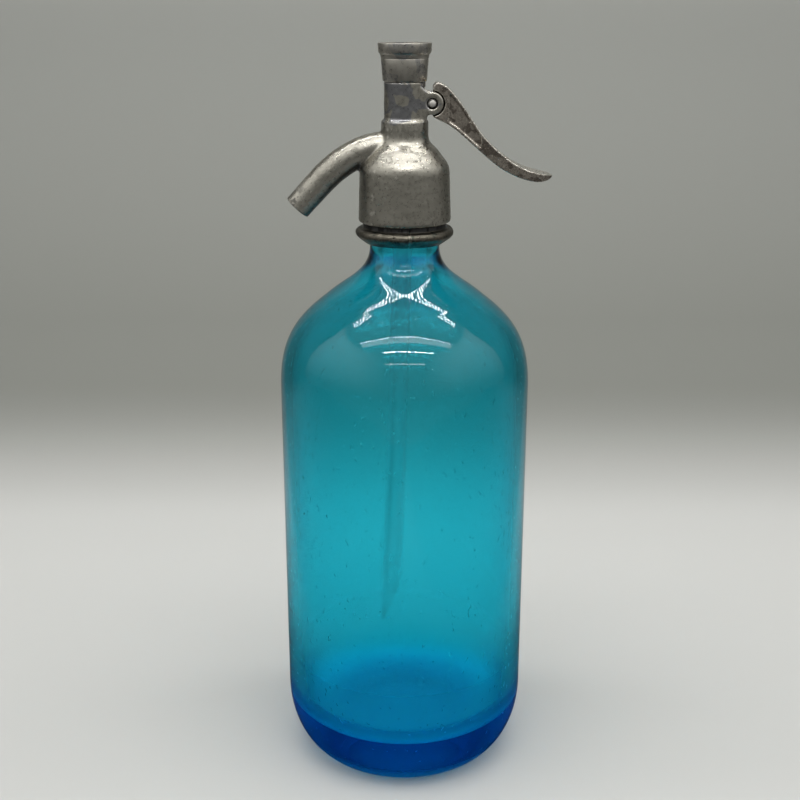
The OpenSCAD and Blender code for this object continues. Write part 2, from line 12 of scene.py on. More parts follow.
import bpy
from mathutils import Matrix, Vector


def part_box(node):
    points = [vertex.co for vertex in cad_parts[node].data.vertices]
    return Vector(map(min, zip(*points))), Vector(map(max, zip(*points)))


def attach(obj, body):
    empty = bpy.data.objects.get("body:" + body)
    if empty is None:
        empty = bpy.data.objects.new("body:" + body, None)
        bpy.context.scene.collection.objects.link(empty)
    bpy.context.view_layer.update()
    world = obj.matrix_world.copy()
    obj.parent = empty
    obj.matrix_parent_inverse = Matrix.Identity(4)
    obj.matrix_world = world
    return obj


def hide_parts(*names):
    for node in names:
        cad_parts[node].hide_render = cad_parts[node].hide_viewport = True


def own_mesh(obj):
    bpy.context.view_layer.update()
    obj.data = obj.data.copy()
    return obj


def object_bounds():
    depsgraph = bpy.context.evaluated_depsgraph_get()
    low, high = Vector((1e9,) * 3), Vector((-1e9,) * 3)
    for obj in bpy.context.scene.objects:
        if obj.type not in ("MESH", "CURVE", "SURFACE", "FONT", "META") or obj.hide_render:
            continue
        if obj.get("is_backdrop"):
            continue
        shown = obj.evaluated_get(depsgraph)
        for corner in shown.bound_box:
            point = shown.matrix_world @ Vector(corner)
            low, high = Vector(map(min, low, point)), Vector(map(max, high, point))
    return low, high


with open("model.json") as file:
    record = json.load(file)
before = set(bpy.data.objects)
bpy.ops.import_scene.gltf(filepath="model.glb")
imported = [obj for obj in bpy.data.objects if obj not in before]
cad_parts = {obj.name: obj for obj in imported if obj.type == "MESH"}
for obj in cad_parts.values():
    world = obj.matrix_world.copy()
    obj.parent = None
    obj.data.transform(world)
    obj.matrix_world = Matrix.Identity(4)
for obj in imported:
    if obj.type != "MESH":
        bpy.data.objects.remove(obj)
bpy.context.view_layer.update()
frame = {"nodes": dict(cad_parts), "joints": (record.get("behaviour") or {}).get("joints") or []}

# %% [markdown]
# Blender works in metres, and a maker thinks in millimetres, so every size below is written in
# millimetres and turned once. A few sizes come straight from the frame's own boxes, so that a new
# piece can't drift from the one that it stands for.

# %% Sizes that come from the frame
MM = 0.001


def mm(*values):
    """Millimetres to a tuple of metres."""
    return tuple(value * MM for value in values)


def box_mm(node):
    """Lowest and highest corner of a node, in millimetres."""
    low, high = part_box(node)
    return low / MM, high / MM


body_r = box_mm("bottle")[1].y
mouth_z = box_mm("bottle")[1].z
joints = {joint["name"]: joint for joint in frame["joints"]}
pivot = Vector(joints["lever_pivot"]["pos_m"]) / MM
print(f"bottle radius {body_r:.1f} mm, mouth at {mouth_z:.1f} mm")
print(f"lever pivot at {pivot.x:.1f}, {pivot.z:.1f} mm")

# %% [markdown]
# ## Camera
# The photograph looks a little down on the siphon from half a metre away. The place, the tilt and
# the focal length were solved from the ellipses of the bottle's foot, shoulder and collar.

# %% Camera
camera_place = (-1.84, -485.1, 315.1)
camera_tilt = 72.1
camera_lens = 55.04
camera_data = bpy.data.cameras.new("camera")
camera_data.lens = camera_lens
camera_data.sensor_width = 36
camera = bpy.data.objects.new("camera", camera_data)
camera.location = mm(*camera_place)
camera.rotation_euler = (math.radians(camera_tilt), 0, 0)
bpy.context.scene.collection.objects.link(camera)
bpy.context.scene.camera = camera
bpy.context.scene.view_settings.view_transform = "Standard"
print("camera at", [round(x, 3) for x in camera.location])

# %% [markdown]
# ## Helpers
# Three habits keep operators predictable with no window: select one piece only, apply a new
# primitive's place at once so that edit mode and the world agree, and merge doubles before the
# normals are recalculated.

# %% Selecting and finishing
def only(piece):
    """Selects this piece alone and makes it the active one."""
    bpy.ops.object.select_all(action="DESELECT")
    piece.select_set(True)
    bpy.context.view_layer.objects.active = piece


def edit(select="SELECT"):
    """Enters edit mode with everything selected, or nothing."""
    bpy.ops.object.mode_set(mode="EDIT")
    bpy.ops.mesh.select_all(action=select)


def close_edit():
    """Merges doubles, turns the faces outwards and leaves edit mode."""
    bpy.ops.mesh.select_all(action="SELECT")
    bpy.ops.mesh.remove_doubles(threshold=1e-6)
    bpy.ops.mesh.normals_make_consistent(inside=False)
    bpy.ops.object.mode_set(mode="OBJECT")


def settle():
    """Moves the active piece's place, turn and scale into its mesh."""
    bpy.ops.object.transform_apply(location=True, rotation=True, scale=True)
    return bpy.context.object


def modify(piece, kind, **settings):
    """Adds a modifier with its settings and applies it."""
    only(piece)
    modifier = piece.modifiers.new(kind.lower(), kind)
    for name, value in settings.items():
        setattr(modifier, name, value)
    bpy.ops.object.modifier_apply(modifier=modifier.name)


def combine(piece, tool, operation):
    """Cuts a tool out of a piece, or joins it on, and deletes the tool."""
    modify(piece, "BOOLEAN", object=tool, operation=operation)
    bpy.data.objects.remove(tool)


print("helpers for selecting and finishing are ready")

# %% [markdown]
# A turned outline is made of straight runs, arcs and smooth curves. The two curves leave out their
# first point, so runs can be put end to end without doubling a point.

# %% Outlines
def arc(centre, radii, start, end, steps):
    """Points of an elliptical arc, in degrees, without its first point."""
    turns = [math.radians(start + (end - start) * i / steps) for i in range(1, steps + 1)]
    return [(centre[0] + radii[0] * math.cos(t), centre[1] + radii[1] * math.sin(t)) for t in turns]


def bezier(a, b, c, d, steps):
    """Points of a cubic curve from a to d, without its first point."""
    points = []
    for i in range(1, steps + 1):
        t = i / steps
        weights = ((1 - t) ** 3, 3 * t * (1 - t) ** 2, 3 * t * t * (1 - t), t ** 3)
        points.append(tuple(sum(w * p[k] for w, p in zip(weights, (a, b, c, d))) for k in (0, 1)))
    return points


print("a quarter circle in 8 steps ends at", [round(x, 3) for x in arc((0, 0), (1, 1), 0, 90, 8)[-1]])

# %% [markdown]
# Most of a siphon is turned work: bottle, bell, cap, collar. A screw modifier or a spin would turn
# a profile too. Here a circle is extruded and resized ring by ring, as one would draw up a pot on a
# wheel, because that keeps the rings level and leaves every ring easy to select later.

# %% Turning on a lathe
POLE = 0.02


def lathe(profile, segments=96, ends="closed"):
    """Turns a profile of (radius, height) in mm. Its ends are closed to a pole, or joined to each other."""
    rings = [(max(radius, POLE), height) for radius, height in profile]
    bpy.ops.object.select_all(action="DESELECT")
    bpy.ops.mesh.primitive_circle_add(vertices=segments, radius=rings[0][0] * MM,
                                      location=(0, 0, rings[0][1] * MM))
    piece = settle()
    edit()
    for (r0, z0), (r1, z1) in zip(rings, rings[1:]):
        bpy.ops.mesh.extrude_region_move(TRANSFORM_OT_translate={"value": (0, 0, (z1 - z0) * MM)})
        bpy.ops.transform.resize(value=(r1 / r0, r1 / r0, 1), center_override=(0, 0, z1 * MM))
    if ends == "closed":
        bpy.ops.mesh.edge_face_add()
        bpy.ops.object.mode_set(mode="OBJECT")
        edit("DESELECT")
        bpy.ops.object.mode_set(mode="OBJECT")
        for vertex in piece.data.vertices[:segments]:
            vertex.select = True
        bpy.ops.object.mode_set(mode="EDIT")
        bpy.ops.mesh.edge_face_add()
    close_edit()
    return piece


def disc_rod(radius, centre, axis, length, segments=64):
    """A plain round tool for cutting: a circle along X, Y or Z, extruded to a rod centred there."""
    turn = {"x": (0, math.pi / 2, 0), "y": (math.pi / 2, 0, 0), "z": (0, 0, 0)}[axis]
    start = Vector(centre)
    start["xyz".index(axis)] -= length / 2
    bpy.ops.object.select_all(action="DESELECT")
    bpy.ops.mesh.primitive_circle_add(vertices=segments, radius=radius * MM, location=mm(*start),
                                      rotation=turn, fill_type="NGON")
    rod = settle()
    edit()
    step = [0, 0, 0]
    step["xyz".index(axis)] = length * MM
    bpy.ops.mesh.extrude_region_move(TRANSFORM_OT_translate={"value": step})
    close_edit()
    return rod


print("lathe and rod are ready")

# %% [markdown]
# ## Bottle
# The bottle is blue soda glass, blown thick enough to hold gas. Its outside runs from a hollow foot
# round a heavy elliptical heel, straight up the body and in one long sweep to the neck and lip. The
# inside is a second turned surface, with a flat floor 20 mm above the table, so the base is solid
# glass. That thick base is what makes the heel deep blue, so it has to be real geometry. The packed
# bottle has its floor at 16 mm, but the way that the base bends the view asks for a thicker one.

# %% Bottle profile
body_top = 166
wall_rings = (70, 120, body_top)
heel_h = 30
heel_in = 19
foot_w = 6
kick_h = 3
glass_wall = 4.6
floor_z = 20
floor_corner = 16
floor_ring_r = 20
neck_base = 223
neck_r = 13.9
neck_bore_r = 8.8
lip_out = 1.4
lip_h = 7.6


def shoulder(r_body, z_body, r_neck, z_neck, steps):
    """The full round turn off the body and the long sweep in to the neck."""
    rise = z_neck - z_body
    waist = (r_body - 0.36 * body_r, z_body + 0.64 * rise)
    return (bezier((r_body, z_body), (r_body, z_body + 0.33 * rise),
                   (r_body - 0.12 * body_r, z_body + 0.475 * rise), waist, steps)
            + bezier(waist, (r_body - 0.53 * body_r, z_body + 0.775 * rise),
                     (r_neck + 0.5, z_body + 0.82 * rise), (r_neck, z_neck), steps))


foot_r = body_r - heel_in
inner_r = body_r - glass_wall
lip_r = neck_r + lip_out
lip_base = mouth_z - lip_h
kick_r = foot_r - foot_w
outside = ([(0, kick_h)] + arc((0, 0), (kick_r, kick_h), 90, 0, 10) + [(kick_r + 0.4, 0), (foot_r - 0.6, 0)]
           + arc((foot_r, heel_h), (heel_in, heel_h), -90, 0, 28)
           + [(body_r, z) for z in wall_rings]
           + shoulder(body_r, body_top, neck_r, neck_base, 44) + [(neck_r, lip_base)]
           + arc((lip_r - 0.5, lip_base + 0.5), (0.5, 0.5), -90, 0, 3)
           + arc((neck_r, mouth_z - lip_out), (lip_out, lip_out), 0, 90, 8))
inside = ([(neck_bore_r + 0.8, mouth_z)] + arc((neck_bore_r + 0.8, mouth_z - 0.8), (0.8, 0.8), 90, 180, 4)
          + shoulder(inner_r, body_top, neck_bore_r, neck_base - glass_wall, 30)[::-1]
          + [(inner_r, z) for z in reversed(wall_rings)]
          + arc((inner_r - floor_corner, floor_z + floor_corner), (floor_corner, floor_corner), 0, -90, 14)
          + [(floor_ring_r, floor_z), (0, floor_z)])
bottle = lathe(outside + inside, segments=192)
bottle.name = "blown_bottle"
bpy.ops.object.shade_smooth()
print("bottle:", len(outside), "rings outside,", len(inside), "inside,", len(bottle.data.polygons), "faces")

# %% [markdown]
# Blown glass is never quite even. A cloud texture with soft lumps three or four centimetres
# across moves the surface inwards by a few hundredths of a millimetre. That is enough to bend the
# long highlights on the shoulder a little, and too little to make them wobble.

# %% Uneven blown surface
def clouds(name, size, depth=1):
    """A noise texture for displacement, whose lumps are about this many millimetres across."""
    texture = bpy.data.textures.new(name, "CLOUDS")
    texture.noise_scale = size * MM
    texture.noise_depth = depth
    return texture


def press_in(piece, texture, depth):
    """Moves the surface inwards by up to this many millimetres, most where the texture is dark."""
    modify(piece, "DISPLACE", texture=texture, texture_coords="GLOBAL", strength=depth * MM, mid_level=1.0)


press_in(bottle, clouds("blown_lumps", 34), 0.04)
print("bottle box after it:", [round(x / MM, 2) for x in bottle.dimensions])

# %% [markdown]
# ## Dip tube
# A clear glass tube hangs from the head to draw soda off the bottom. Its end is cut on a long slant
# so that it can't seal against the floor. It leans a little towards the spout in its rubber sleeve.
# It is turned upright, cut across with a slanting plane, and then tilted about its top.

# %% Dip tube
tube_r = 3.75
tube_bore_r = 1.8
tube_cut = 20
tube_lean = 1.8
tube_top = mouth_z + 1.85
tube_tip = box_mm("dip_tube")[0].z
tube_length = (tube_top - tube_tip) / math.cos(math.radians(tube_lean))
tube_foot = tube_top - tube_length
tube = lathe([(tube_bore_r, tube_foot), (tube_r, tube_foot), (tube_r, tube_top - 0.3),
              (tube_r - 0.3, tube_top), (tube_bore_r, tube_top), (tube_bore_r, tube_foot)], 48, "joined")
slope = math.atan2(tube_cut, 2 * tube_r)
edit()
bpy.ops.mesh.bisect(plane_co=mm(-tube_r, 0, tube_foot), plane_no=(math.sin(slope), 0, -math.cos(slope)),
                    use_fill=True, clear_outer=True)
bpy.ops.mesh.select_all(action="SELECT")
bpy.ops.transform.rotate(value=-math.radians(tube_lean), orient_axis="Y", center_override=mm(0, 0, tube_top))
close_edit()
tube.name = "glass_dip_tube"
bpy.ops.object.shade_smooth_by_angle(angle=math.radians(35))
print("tube from", [round(x / MM, 1) for x in tube.bound_box[0]])
print("to", [round(x / MM, 1) for x in tube.bound_box[6]])

# %% [markdown]
# ## Head casting
# The head is one casting in a tin alloy: a bell that screws over the collar, a neck and column for
# the plunger, two ears for the lever's pin, and the spout. Loose primitives would leave hard seams
# where these meet, and a real casting has none. So the forms are first joined and bored with exact
# cuts, as a moulder and a turner would. A fine voxel remesh then makes one skin of them, and a
# little smoothing gives every inner corner its cast fillet.

# %% Bell, neck and column
head_low, head_high = box_mm("head_body")
cap_low, cap_high = box_mm("top_cap")
bell_foot = head_low.z
bell_r = head_high.y
bell_edge = 1.2
bell_draft = 0.6
bell_wall_top = bell_foot + 19
bell_shoulder_h = 15.5
head_neck_r = 9.35
neck_foot = bell_wall_top + bell_shoulder_h
step_z = neck_foot + 5.2
step_edge = 0.5
column_r = 8.2
stub_r = 7
cap_foot = cap_low.z
stub_top = head_high.z
shoulder_r = bell_r - bell_draft
run = shoulder_r - head_neck_r
half_way = (shoulder_r - 0.49 * run, bell_wall_top + 0.55 * bell_shoulder_h)
head = lathe([(0, bell_foot), (bell_r - bell_edge, bell_foot)]
             + arc((bell_r - bell_edge, bell_foot + bell_edge), (bell_edge, bell_edge), -90, 0, 5)
             + [(shoulder_r, bell_wall_top)]
             + bezier((shoulder_r, bell_wall_top), (shoulder_r, bell_wall_top + 0.3 * bell_shoulder_h),
                      (shoulder_r - 0.26 * run, bell_wall_top + 0.36 * bell_shoulder_h), half_way, 10)
             + bezier(half_way, (shoulder_r - 0.75 * run, bell_wall_top + 0.77 * bell_shoulder_h),
                      (head_neck_r, bell_wall_top + 0.7 * bell_shoulder_h), (head_neck_r, neck_foot), 12)
             + [(head_neck_r, step_z - step_edge), (head_neck_r - step_edge, step_z), (column_r, step_z),
                (column_r, cap_foot), (stub_r, cap_foot), (stub_r, stub_top), (0, stub_top)], 120)
head.name = "head_casting"
print("head: bell radius", round(bell_r, 2), "mm, step at", round(step_z, 2), "mm")

# %% [markdown]
# Flat parts such as an ear's web or the lever's tongue are drawn point by point: one vertex is
# extruded along the outline, the outline is filled, and the face is extruded to its thickness.

# %% Plates from an outline
def plate(outline, axis, start, end):
    """A plate across Y (outline in X and Z) or across Z (outline in X and Y), from start to end, in mm."""
    if axis == "y":
        points = [Vector(mm(x, start, z)) for x, z in outline]
        thickness = mm(0, end - start, 0)
    else:
        points = [Vector(mm(x, y, start)) for x, y in outline]
        thickness = mm(0, 0, end - start)
    bpy.ops.object.select_all(action="DESELECT")
    bpy.ops.mesh.primitive_plane_add(size=MM, location=points[0])
    piece = settle()
    edit()
    bpy.ops.mesh.merge(type="CENTER")
    for here, there in zip(points, points[1:]):
        bpy.ops.mesh.extrude_region_move(TRANSFORM_OT_translate={"value": there - here})
    bpy.ops.mesh.select_all(action="SELECT")
    bpy.ops.mesh.edge_face_add()
    bpy.ops.mesh.extrude_region_move(TRANSFORM_OT_translate={"value": thickness})
    close_edit()
    return piece


print("plates are ready")

# %% [markdown]
# The lever hangs between two ears. Each is a disc round the pin and a web that runs back into the
# column. They overlap the column, and joining them takes the overlap away.

# %% Ears
tongue_half = 2.4
side_play = 0.2
gap_y = tongue_half + side_play
ear_t = 3
ear_y = gap_y + ear_t
ear_r = 4.4
bore_r = 5.2
ear_web_up = 6.2
pin_r = 1.5
web_outline = [(bore_r + 0.8, pivot.z + ear_web_up), (pivot.x - 0.9 * ear_r, pivot.z + ear_web_up),
               (pivot.x - 0.43 * ear_r, pivot.z + ear_r), (pivot.x, pivot.z + ear_r),
               (pivot.x, pivot.z - 0.86 * ear_r), (pivot.x - 0.41 * ear_r, pivot.z - ear_r),
               (pivot.x - 0.45 * ear_r, step_z - 0.5), (bore_r + 0.8, step_z - 0.5)]
for y in (-(ear_y + gap_y) / 2, (ear_y + gap_y) / 2):
    combine(head, disc_rod(ear_r, (pivot.x, y, pivot.z), "y", ear_y - gap_y), "UNION")
    combine(head, plate(web_outline, "y", y - ear_t / 2, y + ear_t / 2), "UNION")
print("ears from", round(gap_y, 2), "to", round(ear_y, 2), "mm on each side")

# %% [markdown]
# The spout is a ring that is extruded out of the casting, spun through two bends and extruded to
# its straight end. Its channel is the same route with a smaller ring, used as a cutter.

# %% Spout
spout_r = 5.6
spout_bore_r = 2.6
spout_draft = 0.12
spout_drop = 10.2
spout_z = step_z - spout_drop
spout_start = 5.7
spout_bends = ((30, 25), (45, 22))
spout_straight = 15.2


def bent_rod(radius, draft, extra):
    """A rod along the spout's route, drawn in by the draft after each length."""
    bpy.ops.object.select_all(action="DESELECT")
    bpy.ops.mesh.primitive_circle_add(vertices=64, radius=(radius + 3 * draft) * MM,
                                      location=mm(0, 0, spout_z), rotation=(0, math.pi / 2, 0))
    rod = settle()
    edit()
    bpy.ops.mesh.extrude_region_move(TRANSFORM_OT_translate={"value": mm(-spout_start, 0, 0)})
    x, z, turned = -spout_start, spout_z, 0.0
    for left, (bend_r, angle) in ((2, spout_bends[0]), (1, spout_bends[1])):
        centre = (x + bend_r * math.sin(turned), 0, z - bend_r * math.cos(turned))
        bpy.ops.mesh.spin(steps=10, angle=math.radians(angle), center=mm(*centre), axis=(0, 1, 0))
        turned += math.radians(angle)
        x, z = centre[0] - bend_r * math.sin(turned), centre[2] + bend_r * math.cos(turned)
        thinner = (radius + left * draft) / (radius + (left + 1) * draft)
        bpy.ops.transform.resize(value=(thinner,) * 3, center_override=mm(x, 0, z))
    reach = spout_straight + extra
    x, z = x - reach * math.cos(turned), z - reach * math.sin(turned)
    bpy.ops.mesh.extrude_region_move(
        TRANSFORM_OT_translate={"value": mm(-reach * math.cos(turned), 0, -reach * math.sin(turned))})
    thinner = radius / (radius + draft)
    bpy.ops.transform.resize(value=(thinner,) * 3, center_override=mm(x, 0, z))
    bpy.ops.mesh.select_all(action="SELECT")
    bpy.ops.mesh.fill_holes(sides=0)
    close_edit()
    return rod


combine(head, bent_rod(spout_r, spout_draft, 0), "UNION")
tip_x = min(corner[0] for corner in head.bound_box) / MM
print("head now reaches x =", round(tip_x, 1), "mm at the spout's tip")

# %% [markdown]
# The inside is turned in steps, from below: the bell's threaded bore, the seat for the ferrule, the
# valve's chamber, the stem's land and the plunger's bore. A slot through the column's wall lets the
# lever's tongue in.

# %% Bores, slot and pin hole
thread_r, thread_top = 16.8, 248.4
ferrule_r, ferrule_top = 12.15, 249.8
chamber_r, chamber_top = 6, 265.325
land_r, land_top = 3.15, 266.925
hollow = lathe([(0, bell_foot - 1), (thread_r, bell_foot - 1), (thread_r, thread_top),
                (ferrule_r, thread_top), (ferrule_r, ferrule_top), (chamber_r, ferrule_top),
                (chamber_r, chamber_top), (land_r, chamber_top), (land_r, land_top), (bore_r, land_top),
                (bore_r, stub_top + 1), (0, stub_top + 1)], 96)
combine(head, hollow, "DIFFERENCE")
combine(head, bent_rod(spout_bore_r, -spout_draft, 1), "DIFFERENCE")
right_through = 20
slot_floor_x = 3.2
slot_h = 12
sink_r = 2.1
sink_depth = 1.1
slot_outline = [(slot_floor_x, -gap_y), (right_through, -gap_y), (right_through, gap_y),
                (slot_floor_x, gap_y)]
combine(head, plate(slot_outline, "z", step_z, step_z + slot_h), "DIFFERENCE")
combine(head, disc_rod(pin_r, (pivot.x, 0, pivot.z), "y", right_through), "DIFFERENCE")
for side in (-1, 1):
    sink = disc_rod(sink_r, (pivot.x, side * (ear_y + 0.1), pivot.z), "y", 2 * (sink_depth + 0.1))
    combine(head, sink, "DIFFERENCE")
print("head after boring:", len(head.data.polygons), "faces")

# %% [markdown]
# Two layers of clouds lie over the remeshed skin: broad dents from years on a bar, and small lumps
# of a worn sand casting. Both only move the surface inwards, so the head stays inside its CAD box.

# %% One cast skin
def cast_skin(piece, voxel, rounds, dent, lump):
    """Makes one even skin, softens its edges and gives it dents and lumps (depths in mm)."""
    modify(piece, "REMESH", mode="VOXEL", voxel_size=voxel * MM, use_smooth_shade=True)
    modify(piece, "SMOOTH", factor=0.5, iterations=rounds)
    press_in(piece, dents, dent)
    press_in(piece, lumps, lump)
    print(piece.name, "skin:", len(piece.data.polygons), "faces")


dents = clouds("dents", 9)
lumps = clouds("lumps", 2.2, 2)
cast_skin(head, voxel=0.41, rounds=3, dent=0.22, lump=0.1)

# %% [markdown]
# ## Lever
# The lever is cast too. Its side view is a long S: a high root over the pin, a fall of 45 degrees
# and a thumb pad that levels out. Seen from above it stays narrow beside the ears and then flares
# to a round pad. Each view is drawn as a plate, and the solid is what the two plates share.

# %% Lever outlines
blade_top = [(0.2, 6.4), (1.8, 7.8), (5.8, 6), (10.7, 0.7), (15.6, -6.3), (20.5, -13), (26.8, -18.9),
             (33.8, -23.6), (40.8, -26.1), (45, -26.9), (47.4, -27.6)]
blade_base = [(0.2, -5.2), (5.8, -7.9), (10, -10.8), (14.2, -14.4), (21.2, -20.4), (26.8, -24.7),
              (33.8, -28), (40.8, -29.6), (45, -29.3), (47.4, -28.2)]
blade_half_w = 5.1
pad_half_w = 8
blade_start, blade_end = blade_top[0][0], blade_top[-1][0]
blade_length = blade_end - blade_start
web_rim = 1.1
lever_travel = 16


def slope_at(points, i):
    """Slope of a row of points at point i."""
    a, b = points[max(i - 1, 0)], points[min(i + 1, len(points) - 1)]
    return (b[1] - a[1]) / (b[0] - a[0])


def through(points, x):
    """Smooth curve through a row of points, read at x."""
    i = next((k for k in range(len(points) - 1) if x <= points[k + 1][0]), len(points) - 2)
    width = points[i + 1][0] - points[i][0]
    t = (x - points[i][0]) / width
    rise_here, rise_there = width * slope_at(points, i), width * slope_at(points, i + 1)
    return ((2 * t ** 3 - 3 * t ** 2 + 1) * points[i][1] + (t ** 3 - 2 * t ** 2 + t) * rise_here
            + (3 * t ** 2 - 2 * t ** 3) * points[i + 1][1] + (t ** 3 - t ** 2) * rise_there)


def blade_half(x):
    """Half width of the blade: straight beside the ears, then flared to a round-ended pad."""
    u = (x - blade_start) / blade_length
    if u < 0.4:
        return blade_half_w
    if u < 0.8:
        return blade_half_w + (pad_half_w - blade_half_w) * (0.5 - 0.5 * math.cos((u - 0.4) / 0.4 * math.pi))
    return pad_half_w * math.sqrt(max(0, 1 - ((u - 0.8) / 0.2) ** 2))


def strip(top, base, start, end, steps, inset):
    """Closed outline between two curves, about the pivot, in X and Z."""
    xs = [start + (end - start) * math.sin(math.pi / 2 * i / steps) for i in range(steps + 1)]
    return ([(pivot.x + x, pivot.z + through(top, x) - inset) for x in xs]
            + [(pivot.x + x, pivot.z + through(base, x) + inset) for x in reversed(xs)])


print("blade is", round(through(blade_top, 20) - through(blade_base, 20), 1), "mm deep at 20 mm from the pin")

# %% [markdown]
# The side plate is cut to what it shares with the plan plate. Each side gets a shallow recess inside
# a rim, and a round relief that clears the ears. A bevel breaks the edges, as a file would.

# %% Lever solid
steps = 60
side_view = strip(blade_top, blade_base, blade_start, blade_end, steps, 0)
blade = plate(side_view, "y", -pad_half_w - 1, pad_half_w + 1)
stations = [blade_start + blade_length * math.sin(math.pi / 2 * i / steps) for i in range(steps)]
plan = ([(pivot.x + x, blade_half(x)) for x in stations] + [(pivot.x + blade_end, 0)]
        + [(pivot.x + x, -blade_half(x)) for x in reversed(stations)])
combine(blade, plate(plan, "z", pivot.z - 2 * right_through, pivot.z + right_through), "INTERSECT")
recess_start, recess_end = 6.6, 19
recess_depth = 0.5
recess = strip(blade_top, blade_base, recess_start, recess_end, 20, web_rim / math.cos(math.radians(45)))
for side in (-1, 1):
    painted_bottle_shadow, out = side * (blade_half_w - recess_depth), side * (blade_half_w + 2)
    combine(blade, plate(recess, "y", min(painted_bottle_shadow, out), max(painted_bottle_shadow, out)), "DIFFERENCE")
    middle = side * (tongue_half + right_through / 2)
    relief = disc_rod(ear_r + 2 * side_play, (pivot.x, middle, pivot.z), "y", right_through)
    combine(blade, relief, "DIFFERENCE")
modify(blade, "BEVEL", width=1.3 * MM, segments=4, limit_method="ANGLE", angle_limit=math.radians(50))
blade.name = "lever_casting"
print("blade:", len(blade.data.polygons), "faces")

# %% [markdown]
# The tongue reaches back from the pin through the slot in the column. Its round nose sits in the
# plunger's window and lifts it when the thumb presses the pad.

# %% Tongue and pin hole
hub_r = 4.2
arm_length = 10.6
arm_half_t = 1.35
nose_r = 2
pin_play = 0.06
combine(blade, disc_rod(hub_r, (pivot.x, 0, pivot.z), "y", 2 * tongue_half), "UNION")
rest_turn = math.radians(lever_travel / 2)
back = Vector((-math.cos(rest_turn), -math.sin(rest_turn)))
across = Vector((-back.y, back.x)) * arm_half_t
hub = Vector((pivot.x, pivot.z))
nose = hub + back * arm_length
arm = [tuple(hub + across), tuple(nose + across), tuple(nose - across), tuple(hub - across)]
combine(blade, plate(arm, "y", -tongue_half, tongue_half), "UNION")
combine(blade, disc_rod(nose_r, (nose.x, 0, nose.y), "y", 2 * tongue_half), "UNION")
combine(blade, disc_rod(pin_r + pin_play, (pivot.x, 0, pivot.z), "y", right_through), "DIFFERENCE")
cast_skin(blade, voxel=0.26, rounds=2, dent=0.14, lump=0.06)
print("lever box:", [round(x / MM, 1) for x in blade.dimensions])

# %% [markdown]
# ## Cap, collar and small parts
# The cap is turned from bar, so it keeps crisp edges: a short skirt, a bevel and a wide rim with a
# dished top. A thin groove runs under the rim where the tool was drawn back.

# %% Cap
flange_r = cap_high.y
cap_top = cap_high.z
flange_z = cap_top - 4.1
skirt_top_r = 9.25
skirt_r = 8.6
washer_top = box_mm("cap_washer")[1].z
dished_top = ([(0, cap_top - 0.4), (flange_r - 2.6, cap_top - 0.4), (flange_r - 1.8, cap_top - 0.05),
               (flange_r - 0.3, cap_top)] + arc((flange_r - 0.3, cap_top - 0.3), (0.3, 0.3), 90, 0, 4))
rim_and_groove = [(flange_r - 0.1, flange_z + 0.9), (flange_r - 0.45, flange_z + 0.2),
                  (flange_r - 0.9, flange_z - 0.2), (skirt_top_r + 0.1, flange_z - 1.3),
                  (skirt_top_r - 0.15, flange_z - 1.7), (skirt_top_r - 0.05, flange_z - 2.1)]
skirt = [(skirt_r, cap_foot + 0.5), (skirt_r - 0.4, cap_foot + 0.05), (skirt_r - 0.6, cap_foot)]
cap_bore = [(stub_r, cap_foot), (stub_r, washer_top), (bore_r, washer_top), (bore_r, cap_top - 2.7),
            (0, cap_top - 2.7)]
cap = lathe(dished_top + rim_and_groove + skirt + cap_bore, 128)
cap.name = "turned_cap"
press_in(cap, dents, 0.08)
bpy.ops.object.shade_smooth_by_angle(angle=math.radians(40))
print("cap box:", [round(x / MM, 2) for x in cap.dimensions])

# %% [markdown]
# The collar is one turned ring that is cut into two halves, because it has to close round the neck
# under the lip. It is the most battered piece: the wrench went here.

# %% Collar halves
collar_low, collar_high = box_mm("collar_left")
collar_foot = collar_low.z
sleeve_top = collar_high.z
collar_r = 20
collar_bore_r = neck_r + 0.15
collar_flange_h = 6.8
collar_flange_top = collar_foot + collar_flange_h
sleeve_in_r = lip_r + 0.15
sleeve_r = sleeve_in_r + 1.35
collar_rim = 2.2
rim_z = collar_foot + 0.66 * collar_flange_h
ring_profile = ([(collar_bore_r, collar_foot), (collar_bore_r + 1.2, collar_foot),
                 (collar_r - 0.6 * collar_rim, rim_z - collar_rim)]
                + arc((collar_r - collar_rim, rim_z), (collar_rim, collar_rim), -40, 82, 12)
                + [(sleeve_r + 0.3, collar_flange_top), (sleeve_r, collar_flange_top + 0.3),
                   (sleeve_r, sleeve_top), (sleeve_in_r, sleeve_top), (sleeve_in_r, lip_base),
                   (collar_bore_r, lip_base), (collar_bore_r, collar_foot)])
seam_turn = math.radians(6)
seam_normal = Vector((math.cos(seam_turn), math.sin(seam_turn), 0))
collars = []
for side, name in ((-1, "collar_half_left"), (1, "collar_half_right")):
    ring = lathe(ring_profile, 192, "joined")
    modify(ring, "SUBSURF", levels=1, subdivision_type="SIMPLE")
    press_in(ring, dents, 0.5)
    press_in(ring, lumps, 0.22)
    edit()
    bpy.ops.mesh.bisect(plane_co=seam_normal * side * 0.2 * MM, plane_no=seam_normal * side,
                        use_fill=True, clear_inner=True)
    close_edit()
    bpy.ops.object.shade_smooth_by_angle(angle=math.radians(40))
    ring.name = name
    collars.append(ring)
print("collar halves:", [len(ring.data.polygons) for ring in collars], "faces")

# %% [markdown]
# The pin is a short rod whose filed ends stand a little inside the ears. It is turned upright on the
# lathe and then laid across.

